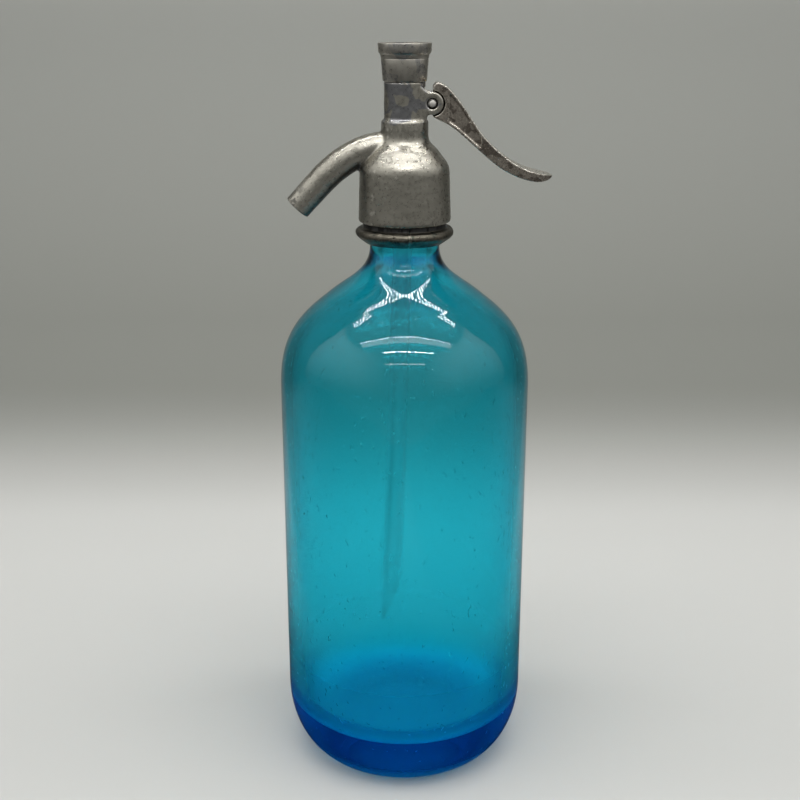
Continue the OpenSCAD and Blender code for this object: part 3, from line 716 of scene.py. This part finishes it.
# %% Pin
pin_half = ear_y - 0.05
pin_end = [(0, 0), (1.0, 0.04), (1.24, 0.2), (1.3, 0.45), (1.3, 1.3), (pin_r - 0.02, 1.4)]
pin = lathe([(r, z - pin_half) for r, z in pin_end] + [(r, pin_half - z) for r, z in reversed(pin_end)], 48)
edit()
bpy.ops.transform.rotate(value=math.pi / 2, orient_axis="X", center_override=(0, 0, 0))
bpy.ops.transform.translate(value=mm(pivot.x, 0, pivot.z))
close_edit()
bpy.ops.object.shade_smooth_by_angle(angle=math.radians(50))
pin.name = "pivot_pin"
print("pin box:", [round(x / MM, 2) for x in pin.dimensions])

# %% [markdown]
# The return spring is a circle of wire carried up a helix by a screw modifier. It shuts the valve,
# and it is the one piece that changes shape: it flattens against the cap as the plunger rises.

# %% Return spring
spring_low, spring_high = box_mm("return_spring")
wire_r = 0.6
spring_r = 3.9
spring_turns = 7
bpy.ops.object.select_all(action="DESELECT")
bpy.ops.mesh.primitive_circle_add(vertices=14, radius=wire_r * MM, rotation=(math.pi / 2, 0, 0),
                                  location=mm(spring_r, 0, spring_low.z + wire_r))
spring = settle()
climb = (spring_high.z - spring_low.z - 2 * wire_r) / spring_turns
modify(spring, "SCREW", angle=2 * math.pi, screw_offset=climb * MM, iterations=spring_turns, steps=40,
       render_steps=40, use_merge_vertices=True)
edit()
bpy.ops.mesh.fill_holes(sides=0)
close_edit()
bpy.ops.object.shade_smooth_by_angle(angle=math.radians(60))
spring.name = "coil_spring"
print("spring box:", [round(x / MM, 2) for x in spring.dimensions], "against", spring_high - spring_low)

# %% [markdown]
# ## Materials
# Every finish is procedural. One function turns a hex colour into linear values, and one gives a
# material an empty tree. One adds a node: its settings are given by name, and its inputs by name or
# in the order in which the node shows them. For a Map Range that is the value, the two ends of the
# range that it comes from, and the two ends of the range that it goes to, which are 0 and 1 unless
# they are given. A node that is given as an input is linked by the first output that it shows.

# %% Colours and nodes
def linear(code):
    """A screen colour such as #8a8279 as the linear values that a shader takes."""
    values = [int(code[i:i + 2], 16) / 255 for i in (1, 3, 5)]
    return tuple(v / 12.92 if v <= 0.04045 else ((v + 0.055) / 1.055) ** 2.4 for v in values) + (1.0,)


def fresh(name):
    """A new material with an empty tree."""
    material = bpy.data.materials.new(name)
    material.use_nodes = True
    material.node_tree.nodes.clear()
    return material, material.node_tree


def add(tree, kind, inputs=(), **settings):
    """Adds a node, sets its properties, and sets or links its inputs."""
    node = tree.nodes.new("ShaderNode" + kind)
    for name, value in settings.items():
        setattr(node, name, value)
    shown = [socket for socket in node.inputs if socket.enabled]
    for key, value in inputs.items() if isinstance(inputs, dict) else enumerate(inputs):
        socket = node.inputs[key] if isinstance(key, str) else shown[key]
        if isinstance(value, bpy.types.Node):
            value = next(output for output in value.outputs if output.enabled)
        if isinstance(value, bpy.types.NodeSocket):
            tree.links.new(value, socket)
        else:
            socket.default_value = value
    return node


print("white is", linear("#ffffff"), "and middle grey", round(linear("#808080")[0], 3))

# %% [markdown]
# Patterns are placed by Object coordinates, which are metres. A place is turned to millimetres once,
# so that a zone such as 250 to 255 mm above the table can be read as it stands. A noise is scaled by
# one over the size of its patches, and stretched where the real pattern is drawn out.

# %% Places and patches
def place_mm(tree):
    """The place on the piece, in millimetres."""
    metres = add(tree, "TexCoord").outputs["Object"]
    return add(tree, "VectorMath", (metres, (1 / MM, 1 / MM, 1 / MM)), operation="MULTIPLY")


def patches(tree, size, detail=3.0, rough=0.55, stretch=(1, 1, 1)):
    """Patches of this many millimetres, about 0.5 in the middle of their range."""
    metres = add(tree, "TexCoord").outputs["Object"]
    stretched = add(tree, "Mapping", {"Vector": metres, "Scale": stretch})
    return add(tree, "TexNoise", {"Vector": stretched, "Scale": 1 / (size * MM), "Detail": detail,
                                  "Roughness": rough})


print("patches of 5 mm are a noise of scale", 1 / (5 * MM))

# %% [markdown]
# The bottle is soda-lime glass, blown in a mould. Its colour comes mostly from its thickness: in the
# volume red light dies within millimetres, green slowly and blue hardly at all, so one wall looks
# teal and the heavy base deep blue. The volume's colour is no screen colour. It says how much of red,
# green and blue is spared at each step, so it is written as plain numbers.
#
# Only the inside has a faint film from years of soda, waves from the blowing, and a little lime low
# on the wall and on the floor. Inside and outside are told apart by whether the surface faces away
# from the bottle's axis, and that turns round where a ray meets the surface from behind. The foot is
# rubbed rough by the bar, which scatters light into the base.

# %% Blue soda glass
glass, tree = fresh("blue_soda_glass")
place = place_mm(tree)
height = add(tree, "SeparateXYZ", (place,)).outputs[2]
from_axis = add(tree, "VectorMath", (place, (1, 1, 0)), operation="MULTIPLY")
radius = add(tree, "VectorMath", (from_axis,), operation="LENGTH")
normal = add(tree, "TexCoord").outputs["Normal"]
outward = add(tree, "VectorMath", (normal, from_axis), operation="DOT_PRODUCT")
behind = add(tree, "MapRange", (add(tree, "NewGeometry").outputs["Backfacing"], 0, 1, 1, -1))
outward = add(tree, "Math", (outward, behind), operation="MULTIPLY")
inner = add(tree, "MapRange", (outward, 0.5, -0.5))
lime = add(tree, "MapRange", (radius, 47.5, 46.8))
for none_at, full_at in ((75, 34), (16, 19)):
    band = add(tree, "MapRange", (height, none_at, full_at))
    lime = add(tree, "Math", (lime, band), operation="MULTIPLY")
rough = add(tree, "MapRange", (height, 6, 14, 0.55, 0.004))
for film in (inner, lime):
    rough = add(tree, "Math", (film, 0.16, rough), operation="MULTIPLY_ADD")
print("glass zones:", len(tree.nodes), "nodes")

# %% [markdown]
# Faint cords run down the glass, with small bubbles, called seeds, and a few specks of dirt that keep
# to some places. The cords are drawn out to sixteen times their width. The pale tint at the surface
# evens out the thin places of the wall.

# %% Cords, seeds and dirt
cords = patches(tree, 5, 2, 0.5, (1, 1, 0.06))
seeds = add(tree, "MapRange", (patches(tree, 1.6, 0, 0.5, (1, 1, 0.6)), 0.77, 0.82))
waves = add(tree, "MapRange", (inner, 0, 1, 0.0, 0.5))
bump = add(tree, "Bump", {"Height": cords, "Strength": waves, "Distance": 0.06 * MM})
bump = add(tree, "Bump", {"Height": seeds, "Strength": 0.6, "Distance": 0.15 * MM, "Normal": bump})
specks = add(tree, "MapRange", (patches(tree, 2.2, 4, 0.7), 0.675, 0.705))
dirty_places = add(tree, "MapRange", (patches(tree, 38, 2), 0.44, 0.56))
dirt = add(tree, "Math", (specks, dirty_places), operation="MULTIPLY")
tint = add(tree, "Mix", (dirt, linear("#b7eff5"), linear("#61898e")), data_type="RGBA")
clearness = add(tree, "MapRange", (lime, 0, 1, 1.0, 0.86))
surface = add(tree, "BsdfPrincipled", {"Base Color": tint, "Transmission Weight": clearness, "IOR": 1.5,
                                       "Roughness": rough, "Normal": bump})
volume = add(tree, "VolumeAbsorption", {"Color": (0.0, 0.925, 0.988, 1), "Density": 250})
add(tree, "OutputMaterial", {"Surface": surface, "Volume": volume})
print("glass:", len(tree.nodes), "nodes")

# %% [markdown]
# The dip tube is drawn clear glass that soda has etched until it is frosted. Its index is set lower
# than the typical 1.5, so that its thick wall bends the view less and it reads as a pale shadow.

# %% Frosted tube
clear, tree = fresh("clear_tube_glass")
bump = add(tree, "Bump", {"Height": patches(tree, 4, 2, 0.5, (1, 1, 0.1)), "Strength": 0.3,
                          "Distance": 0.05 * MM})
surface = add(tree, "BsdfPrincipled", {"Base Color": linear("#ffffff"), "Transmission Weight": 1.0,
                                       "IOR": 1.3, "Roughness": 0.3, "Normal": bump})
add(tree, "OutputMaterial", {"Surface": surface})
print("tube glass:", len(tree.nodes), "nodes")

# %% [markdown]
# The fittings are a pewter-like tin alloy that was once bright. Handling keeps the high spots light
# and smooth, and tarnish sits in the hollows. One recipe makes the cast, the turned and the battered
# pieces: patches of tarnish with hard borders, worn edges found from the curvature, pits, and a
# crinkled casting skin. The skin's reflections break into sparks, which tells the eye that it is
# cast. Three of its inputs are functions that say where things lie: the skin (where), black grease
# together with painted shade, and more or less tarnish (patched). A fourth is a direction: the side
# that faces it is made lighter, partly as wear where the thumb rubs it and partly as a painted
# highlight from the lamps above.

# %% Old metal
def old_metal(name, body, stain, worn, polish, dull, patch, pits, pit_size, crinkle, crinkle_size,
              edges=(0.51, 0.56), where=None, dark_grease_and_shade=None, patched=None, lit_and_rubbed_side=None):
    """Tarnished tin alloy: three colours, two roughness values, and sizes in millimetres."""
    material, tree = fresh(name)
    big = patches(tree, patch, 2, 0.45)
    if patched:
        big = add(tree, "Math", (big, patched(tree)))
    small = patches(tree, patch / 6, 4, 0.65)
    tarnish = add(tree, "MapRange", (big, 0.53, 0.542))
    fleck = add(tree, "MapRange", (small, 0.58, 0.66))
    curve = add(tree, "NewGeometry").outputs["Pointiness"]
    edge = add(tree, "MapRange", (curve, *edges))
    edge = add(tree, "Math", (edge, add(tree, "MapRange", (small, 0.40, 0.52))), operation="MULTIPLY")
    hollow = add(tree, "MapRange", (curve, 0.485, 0.45))
    cavity = add(tree, "MapRange", (patches(tree, pit_size, 2, 0.6), 0.66, 0.72))
    skin = patches(tree, crinkle_size, 3, 0.6)
    if where:
        here = where(tree)
        fleck, cavity, skin = [add(tree, "Math", (layer, here), operation="MULTIPLY")
                               for layer in (fleck, cavity, skin)]
    # The side facing this direction is made lighter: wear from the thumb, and a painted highlight.
    if lit_and_rubbed_side:
        facing = add(tree, "VectorMath", (add(tree, "TexCoord").outputs["Normal"], lit_and_rubbed_side),
                     operation="DOT_PRODUCT")
        lit_and_rubbed = add(tree, "Math", (add(tree, "MapRange", (facing, 0.55, 0.8)),
                                    add(tree, "MapRange", (small, 0.38, 0.46))), operation="MULTIPLY")
        edge = add(tree, "Math", (edge, lit_and_rubbed), operation="MAXIMUM")
    bright = add(tree, "Math", (fleck, 0.22), operation="MULTIPLY")
    dark = add(tree, "Math", (hollow, cavity), operation="MAXIMUM")
    dark = add(tree, "Math", (dark, 0.8), operation="MULTIPLY")
    colour = add(tree, "Mix", (tarnish, linear(body), linear(stain)), data_type="RGBA")
    for amount, code in ((bright, worn), (edge, worn), (dark, "#26231f")):
        colour = add(tree, "Mix", (amount, colour, linear(code)), data_type="RGBA")
    metallic = 1.0
    # Grease and painted shade both turn the colour near black and take the metal away.
    if dark_grease_and_shade:
        grease_and_shade_share = dark_grease_and_shade(tree)
        colour = add(tree, "Mix", (grease_and_shade_share, colour, linear("#0b0a09")), data_type="RGBA")
        metallic = add(tree, "MapRange", (grease_and_shade_share, 0, 1, 1.0, 0.1))
    rough = add(tree, "MapRange", (small, 0.35, 0.68, polish, dull))
    depth = add(tree, "Math", (cavity, -1.0), operation="MULTIPLY")
    bump = add(tree, "Bump", {"Height": depth, "Strength": 1.0, "Distance": pits * MM})
    bump = add(tree, "Bump", {"Height": skin, "Strength": 1.0, "Distance": crinkle * MM, "Normal": bump})
    surface = add(tree, "BsdfPrincipled", {"Base Color": colour, "Metallic": metallic, "Roughness": rough,
                                           "Normal": bump})
    add(tree, "OutputMaterial", {"Surface": surface})
    print(name, "has", len(tree.nodes), "nodes")
    return material


# %% [markdown]
# The bell's shoulder and the spout kept their cast skin. The bell's wall and the column were turned
# smooth, so nearly nothing of it is left there.

# %% Where the cast skin lies
def cast_zone(tree):
    """One on the bell's shoulder and the spout, little on the turned walls."""
    x, _, z = add(tree, "SeparateXYZ", (place_mm(tree),)).outputs
    high = add(tree, "Math", (add(tree, "MapRange", (z, 250, 255)),
                              add(tree, "MapRange", (z, 273.5, 272))), operation="MULTIPLY")
    out = add(tree, "MapRange", (x, -18, -21))
    zone = add(tree, "Math", (high, out), operation="MAXIMUM")
    return add(tree, "MapRange", (zone, 0, 1, 0.05, 1.0))


print("cast skin on the bell's shoulder and the spout")

# %% [markdown]
# Black is painted where it stands for shade: painted shade in the counterbore round the pin's ends, under the
# spout, and on the collar's thread in the gap under the bell. Grease goes black where nobody wipes it: in
# flecks at the spout's tip and in short runs below the step of the casting.

# %% Where grease and painted shade lie
def grease_and_painted_shade(tree):
    """Painted shade in the ring round the pin's ends and under the spout, and grease on the spout's tip and
    at the step.
    """
    x, _, z = add(tree, "SeparateXYZ", (place_mm(tree),)).outputs
    across = add(tree, "Math", (x, pivot.x), operation="SUBTRACT")
    up = add(tree, "Math", (z, pivot.z), operation="SUBTRACT")
    from_pin = add(tree, "VectorMath", (add(tree, "CombineXYZ", (across, up)),), operation="LENGTH")
    # The dark ring round the pin's ends is painted shade in the counterbore.
    ring = add(tree, "MapRange", (from_pin, 2.4, 2.1))
    # Faces turned down under the spout get painted shade.
    down = add(tree, "SeparateXYZ", (add(tree, "TexCoord").outputs["Normal"],)).outputs[2]
    shade_under_spout = add(tree, "MapRange", (down, -0.1, -0.55, 0.0, 0.95))
    shade_under_spout = add(tree, "Math", (shade_under_spout, add(tree, "MapRange", (x, -12, -18))), operation="MULTIPLY")
    tip = add(tree, "MapRange", (patches(tree, 3, 4, 0.6), 0.47, 0.56, 0.0, 0.8))
    tip = add(tree, "Math", (tip, add(tree, "MapRange", (x, -36, -43))), operation="MULTIPLY")
    runs = add(tree, "MapRange", (patches(tree, 1.6, 2, 0.5, (1, 1, 0.12)), 0.50, 0.60, 0.0, 0.5))
    for none_at, full_at in ((268.5, 271.5), (272.6, 272)):
        band = add(tree, "MapRange", (z, none_at, full_at))
        runs = add(tree, "Math", (runs, band), operation="MULTIPLY")
    grease_and_shade_mask = ring
    for dirt in (shade_under_spout, tip, runs):
        grease_and_shade_mask = add(tree, "Math", (grease_and_shade_mask, dirt), operation="MAXIMUM")
    return grease_and_shade_mask


def shade_under_bell(tree):
    """Painted shade on the collar's thread, in the gap under the bell."""
    z = add(tree, "SeparateXYZ", (place_mm(tree),)).outputs[2]
    return add(tree, "MapRange", (z, collar_flange_top - 0.3, collar_flange_top + 0.2))


# The ring round the pin is painted shade.
print(f"grease round the pin at {pivot.x:.1f}, {pivot.z:.1f} mm")

# %% [markdown]
# The plating is thickest on the bell, and the column has lost most of it. On the column's right the
# border between dull and bright runs straight down. Both functions add a little to the noise that
# says where tarnish sits, or take some away, and so give it more or less room.

# %% Where the plating is worn through
def plating(tree):
    """More tarnish on the column, and a border that runs down at one side."""
    x, _, z = add(tree, "SeparateXYZ", (place_mm(tree),)).outputs
    left = add(tree, "MapRange", (x, 2.2, 2.6, 0.035, -0.01))
    column = add(tree, "Math", (add(tree, "MapRange", (z, 271.5, 272.5)),
                                add(tree, "MapRange", (z, 288.5, 287.5))), operation="MULTIPLY")
    return add(tree, "Math", (left, add(tree, "MapRange", (column, 0, 1, -0.05, 0.0))))


def casting(tree):
    """The bell keeps its plating. Only the column has lost it in patches."""
    z = add(tree, "SeparateXYZ", (place_mm(tree),)).outputs[2]
    bell = add(tree, "MapRange", (z, 270.5, 271.5, -0.3, 0.0))
    return add(tree, "Math", (plating(tree), bell))


print("plating is whole below 270.5 mm")

# %% [markdown]
# The recipe is used four times. The casting is pale, with clear pits. The cap is the palest, and as
# it is turned it has nearly no skin. The collar is dark and battered, with painted shade on its thread
# under the bell. The lever is rubbed bright on top, and a painted highlight lightens it there too.

# %% The four tin alloys
cast_metal = old_metal("cast_tin_alloy", "#bbb7ac", "#99999b", "#e2ded4", polish=0.24, dull=0.42, patch=7,
                       pits=0.12, pit_size=1.1, crinkle=0.05, crinkle_size=0.9, where=cast_zone,
                       dark_grease_and_shade=grease_and_painted_shade, patched=casting)
cap_metal = old_metal("turned_tin_alloy", "#d2cdc3", "#b3b1ae", "#dcd8ce", polish=0.26, dull=0.38, patch=8,
                      pits=0.03, pit_size=1.0, crinkle=0.008, crinkle_size=0.9, where=lambda tree: 0.3,
                      patched=plating)
collar_metal = old_metal("battered_tin_alloy", "#69655b", "#464941", "#b9b2a4", polish=0.3, dull=0.5,
                         patch=5, pits=0.2, pit_size=1.3, crinkle=0.07, crinkle_size=1.0,
                         edges=(0.505, 0.55), dark_grease_and_shade=shade_under_bell)
lever_metal = old_metal("handled_tin_alloy", "#b2a99e", "#857c73", "#f2ede2", polish=0.2, dull=0.45,
                        patch=4, pits=0.12, pit_size=0.9, crinkle=0.05, crinkle_size=0.9,
                        edges=(0.505, 0.54), lit_and_rubbed_side=(0.45, 0, 0.89))

# %% [markdown]
# The pieces inside are hardly seen, but a cutaway shows them, so each gets its own real finish:
# bright spring steel, brass gone dull in water, red rubber, and oiled leather for the gland. The
# pin's filed ends do show at the front: bright, and with no mirror left in them.

# %% Inner finishes
def plain(name, colour, metallic, rough, size, depth):
    """A simple finish with one colour, slight clouding and a fine surface."""
    material, tree = fresh(name)
    cloud = patches(tree, size, 3)
    dull = add(tree, "MapRange", (cloud, 0.4, 0.7, 0.0, 0.35))
    shade = add(tree, "Mix", (dull, linear(colour), linear("#3a322b")), data_type="RGBA")
    uneven = add(tree, "MapRange", (cloud, 0.3, 0.7, rough, rough + 0.15))
    bump = add(tree, "Bump", {"Height": cloud, "Strength": 1.0, "Distance": depth * MM})
    surface = add(tree, "BsdfPrincipled", {"Base Color": shade, "Metallic": metallic, "Roughness": uneven,
                                           "Normal": bump})
    add(tree, "OutputMaterial", {"Surface": surface})
    return material


steel = plain("bright_spring_steel", "#c9c8c4", 1.0, 0.18, 2.5, 0.005)
filed = plain("filed_steel_pin", "#f4f2ec", 1.0, 0.5, 2.5, 0.005)
brass = plain("wet_brass", "#b8964f", 1.0, 0.28, 3.0, 0.01)
rubber = plain("red_rubber", "#8c2f22", 0.0, 0.55, 2.0, 0.02)
leather = plain("oiled_leather", "#7a5534", 0.0, 0.6, 1.2, 0.06)
print("inner finishes ready")

# %% [markdown]
# ## Putting it together
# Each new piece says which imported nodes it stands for, which body it rides on, and which finish it
# takes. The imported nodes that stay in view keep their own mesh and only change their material.

# %% Pieces and bodies
for piece, nodes, body, material, slot_name in (
        (bottle, ("bottle",), "siphon_body", glass, "tinted_glass"),
        (tube, ("dip_tube",), "siphon_body", clear, "clear_glass"),
        (head, ("head_body",), "siphon_body", cast_metal, "cast_metal"),
        (cap, ("top_cap",), "siphon_body", cap_metal, "cap_metal"),
        (collars[0], ("collar_left",), "siphon_body", collar_metal, "collar_metal"),
        (collars[1], ("collar_right",), "siphon_body", collar_metal, "collar_metal"),
        (pin, ("lever_pin",), "siphon_body", filed, "bright_steel"),
        (blade, ("lever",), "lever_arm", lever_metal, "lever_metal"),
        (spring, ("return_spring",), "siphon_body", steel, "bright_steel")):
    piece.data.materials.clear()
    piece.data.materials.append(material)
    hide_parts(*nodes)
    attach(piece, body)
    print(piece.name, "stands for", ", ".join(nodes), "on", body)

# %% [markdown]
# The nodes inside keep the mesh that they were packed with, and only get their finish.

# %% Inner nodes
for nodes, material in ((("plunger", "valve_holder", "gland_nut", "tube_ferrule"), brass),
                        (("valve_disc", "neck_washer", "tube_sleeve"), rubber),
                        (("gland_packing", "cap_washer"), leather),
                        (("valve_screw", "spring_washer"), steel)):
    for node in nodes:
        frame["nodes"][node].material_slots[0].material = material
print("inner nodes finished")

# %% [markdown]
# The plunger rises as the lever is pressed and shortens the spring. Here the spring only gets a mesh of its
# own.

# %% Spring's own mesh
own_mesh(spring)

# %% [markdown]
# ## Set and light
# The photograph was taken on a pale sweep that curves up behind the bottle. The floor is bright,
# the wall darker, and the change between them is soft. A plane is extruded round the curve.

# %% Sweep
sweep_y = 300
sweep_r = 300
paper_reach = 2500
bpy.ops.object.select_all(action="DESELECT")
bpy.ops.mesh.primitive_plane_add(size=MM, location=mm(-paper_reach, -paper_reach, 0))
sweep = settle()
edit()
bpy.ops.mesh.merge(type="CENTER")
bpy.ops.mesh.extrude_region_move(TRANSFORM_OT_translate={"value": mm(2 * paper_reach, 0, 0)})
bpy.ops.mesh.select_all(action="SELECT")
here = (-paper_reach, 0)
for there in ([(sweep_y, 0)] + arc((sweep_y, sweep_r), (sweep_r, sweep_r), -90, 0, 24)
              + [(sweep_y + sweep_r, paper_reach)]):
    step = mm(0, there[0] - here[0], there[1] - here[1])
    bpy.ops.mesh.extrude_region_move(TRANSFORM_OT_translate={"value": step})
    here = there
close_edit()
bpy.ops.object.shade_smooth()
sweep.name = "sweep"
print("sweep:", len(sweep.data.polygons), "faces")

# %% [markdown]
# The paper is matt and nearly white. Its tone changes with the way along it, as painted light and shade:
# paler in the middle of the floor, a mid grey of painted shade up the curve, and paler again up the wall,
# most of all above the picture, where the lamps hang. Out to the sides painted shade makes it darker to
# every ray but the camera's own, which gives the bottle its darker sides.

# %% Tone of the paper
paper, tree = fresh("pale_paper_sweep")
place = place_mm(tree)
x, y, z = add(tree, "SeparateXYZ", (place,)).outputs
way = add(tree, "Math", (y, z))
tone = linear("#cacac8")
# These tones along the way are painted light and shade.
for along, low, high, ease, code in ((way, -30, 200, "SMOOTHSTEP", "#d3d3d1"),
                                     (way, 230, 470, "SMOOTHSTEP", "#8b8c87"),
                                     (z, 70, 330, "LINEAR", "#aeafab"),
                                     (z, 360, 550, "LINEAR", "#d8d8d4")):
    share = add(tree, "MapRange", (along, low, high), interpolation_type=ease)
    tone = add(tree, "Mix", (share, tone, linear(code)), data_type="RGBA")
rays = add(tree, "LightPath").outputs
# Painted shade out to the sides, for every ray but the camera's.
from_camera = add(tree, "Math", (y, camera_place[1]), operation="SUBTRACT")
aside = add(tree, "Math", (add(tree, "Math", (x,), operation="ABSOLUTE"), from_camera), operation="DIVIDE")
painted_side_shade = add(tree, "MapRange", (aside, 0.335, 0.42, 0.0, 0.5), interpolation_type="SMOOTHSTEP")
unseen = add(tree, "MapRange", (rays["Is Camera Ray"], 0, 1, 1, 0))
painted_side_shade = add(tree, "Math", (unseen, painted_side_shade), operation="MULTIPLY")
tone = add(tree, "Mix", (painted_side_shade, tone, linear("#000000")), data_type="RGBA")
print("tone of the paper:", len(tree.nodes), "nodes")

# %% [markdown]
# Mirrored in metal or glass the paper gets painted shade, most of all in front, where the box is open,
# and close round the bottle, where it is a painted shadow of the bottle. Is Glossy Ray is also true of
# rays that are bent through glass, so it is multiplied by Is Reflection Ray. Light also reaches the table
# through the bottle and comes back into the thick base, which path tracing finds too seldom, so rays that
# come through glass see a weak blue ring of glow under the bottle. The shadow that the camera sees on the
# floor is kept.

# %% Paper in mirrors and through glass
mirrored = add(tree, "Math", (rays["Is Glossy Ray"], rays["Is Reflection Ray"]), operation="MULTIPLY")
from_middle = add(tree, "VectorMath", (place,), operation="LENGTH")
in_front = add(tree, "MapRange", (y, -250, 120, 0.80, 0.45))
# A painted shadow of the bottle on the paper, seen only in mirrors.
painted_bottle_shadow = add(tree, "MapRange", (from_middle, 300, 120, 0.0, 0.42))
painted_mirror_shade = add(tree, "Math", (in_front, painted_bottle_shadow), use_clamp=True)
painted_mirror_shade = add(tree, "Math", (mirrored, painted_mirror_shade), operation="MULTIPLY")
tone = add(tree, "Mix", (painted_mirror_shade, tone, linear("#000000")), data_type="RGBA")
inside_ring = add(tree, "MapRange", (from_middle, 40, 48, 0.35, 0.43), interpolation_type="SMOOTHSTEP")
outside_ring = add(tree, "MapRange", (from_middle, 70, 48), interpolation_type="SMOOTHSTEP")
glow = add(tree, "Math", (inside_ring, outside_ring), operation="MULTIPLY")
glow = add(tree, "Math", (glow, rays["Is Transmission Ray"]), operation="MULTIPLY")
surface = add(tree, "BsdfPrincipled", {"Base Color": tone, "Roughness": 0.9, "Specular IOR Level": 0.15,
                                       "Emission Color": linear("#59e1ff"), "Emission Strength": glow})
add(tree, "OutputMaterial", {"Surface": surface})
sweep.data.materials.append(paper)
sweep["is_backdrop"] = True
print("paper:", len(tree.nodes), "nodes")

# %% [markdown]
# The place of each highlight on the bottle's shoulder tells where its lamp hangs. Traced back through
# the mirror angle, they come from long strips overhead that run from left to right, as in a light
# box: two rows of separate diodes, a soft panel beside the second row, and two thin strips in front.
# An area light has its own coordinates over its face, from 0 to 1 each way. A wave along each of
# them leaves bright points in rows: thirty times three over the bottle, forty in one row in front.

# %% Lamps
def strip_light(name, place, size, watts, aim, diodes=None):
    """An area light of this size in mm that points at a spot in mm: plain, or rows and columns of diodes."""
    data = bpy.data.lights.new(name, "AREA")
    data.shape = "RECTANGLE"
    data.size, data.size_y = size[0] * MM, size[1] * MM
    data.energy = watts
    if diodes:
        data.use_nodes = True
        tree = data.node_tree
        tree.nodes.clear()
        face = add(tree, "SeparateXYZ", (add(tree, "NewGeometry").outputs["Parametric"],))
        power = 1.0
        for axis, count in enumerate(diodes):
            wave = add(tree, "Math", (face.outputs[axis], count * math.pi), operation="MULTIPLY")
            wave = add(tree, "Math", (wave,), operation="SINE")
            wave = add(tree, "Math", (wave,), operation="ABSOLUTE")
            lit = add(tree, "MapRange", (wave, 0.62, 0.86))
            power = add(tree, "Math", (power, lit), operation="MULTIPLY")
        emission = add(tree, "Emission", {"Strength": power})
        add(tree, "OutputLight", {"Surface": emission})
    lamp = bpy.data.objects.new(name, data)
    lamp.location = mm(*place)
    lamp.rotation_euler = (Vector(mm(*aim)) - lamp.location).to_track_quat("-Z", "Y").to_euler()
    bpy.context.scene.collection.objects.link(lamp)
    return lamp


lamps = [strip_light("diodes_over", (0, 42, 620), (590, 36), 3.2, (0, 42.5, 0), (30, 3)),
         strip_light("diodes_front", (20, -152, 620), (640, 12), 1.1, (20, -151.5, 0), (40, 1)),
         strip_light("soft_panel", (20, -185, 622), (640, 50), 0.3, (20, -184.5, 0)),
         strip_light("thin_strip", (25, -320, 620), (400, 9), 0.6, (25, -200, 0)),
         strip_light("front_strip", (0, -560, 620), (420, 14), 0.16, (0, 0, 150))]
print("lamps:", [lamp.name for lamp in lamps])

# %% [markdown]
# The room itself is grey, and the side walls of the box brighten towards their top, where they end
# in a hard edge under the ceiling. A reflection sees the room darker than the table does, because
# the box is open to a dim room in front. These tones are light, not paint, so they are plain numbers
# and may pass 1.

# %% Room
world = bpy.data.worlds.new("grey_room")
bpy.context.scene.world = world
world.use_nodes = True
tree = world.node_tree
tree.nodes.clear()
direction = add(tree, "TexCoord").outputs["Generated"]
side, _, up = add(tree, "SeparateXYZ", (direction,)).outputs
height_share = add(tree, "MapRange", (up, -0.2, 0.9))
tone = add(tree, "Mix", (height_share, (0.30, 0.305, 0.29, 1), (1.0, 1.0, 0.97, 1)), data_type="RGBA")
wall = add(tree, "MapRange", (add(tree, "Math", (side,), operation="ABSOLUTE"), 0.3, 0.7))
for dark_at, bright_at in ((0.78, 0.76), (0.0, 0.7)):
    band = add(tree, "MapRange", (up, dark_at, bright_at))
    wall = add(tree, "Math", (wall, band), operation="MULTIPLY")
tone = add(tree, "Mix", (wall, tone, (2.6, 2.6, 2.55, 1)), data_type="RGBA")
rays = add(tree, "LightPath").outputs
mirrored = add(tree, "Math", (rays["Is Glossy Ray"], rays["Is Reflection Ray"]), operation="MULTIPLY")
strength = add(tree, "MapRange", (mirrored, 0, 1, 0.85, 0.4))
background = add(tree, "Background", {"Color": tone, "Strength": strength})
add(tree, "OutputWorld", {"Surface": background})
print("room:", len(tree.nodes), "nodes")

# %% [markdown]
# ## Sizes
# The box of the dressed siphon is printed below. It should fill the same box
# as the imported one, to a fraction of a millimetre.

# %% Sizes
low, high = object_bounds()
print("dressed box", [round(x / MM, 2) for x in (*low, *high)])
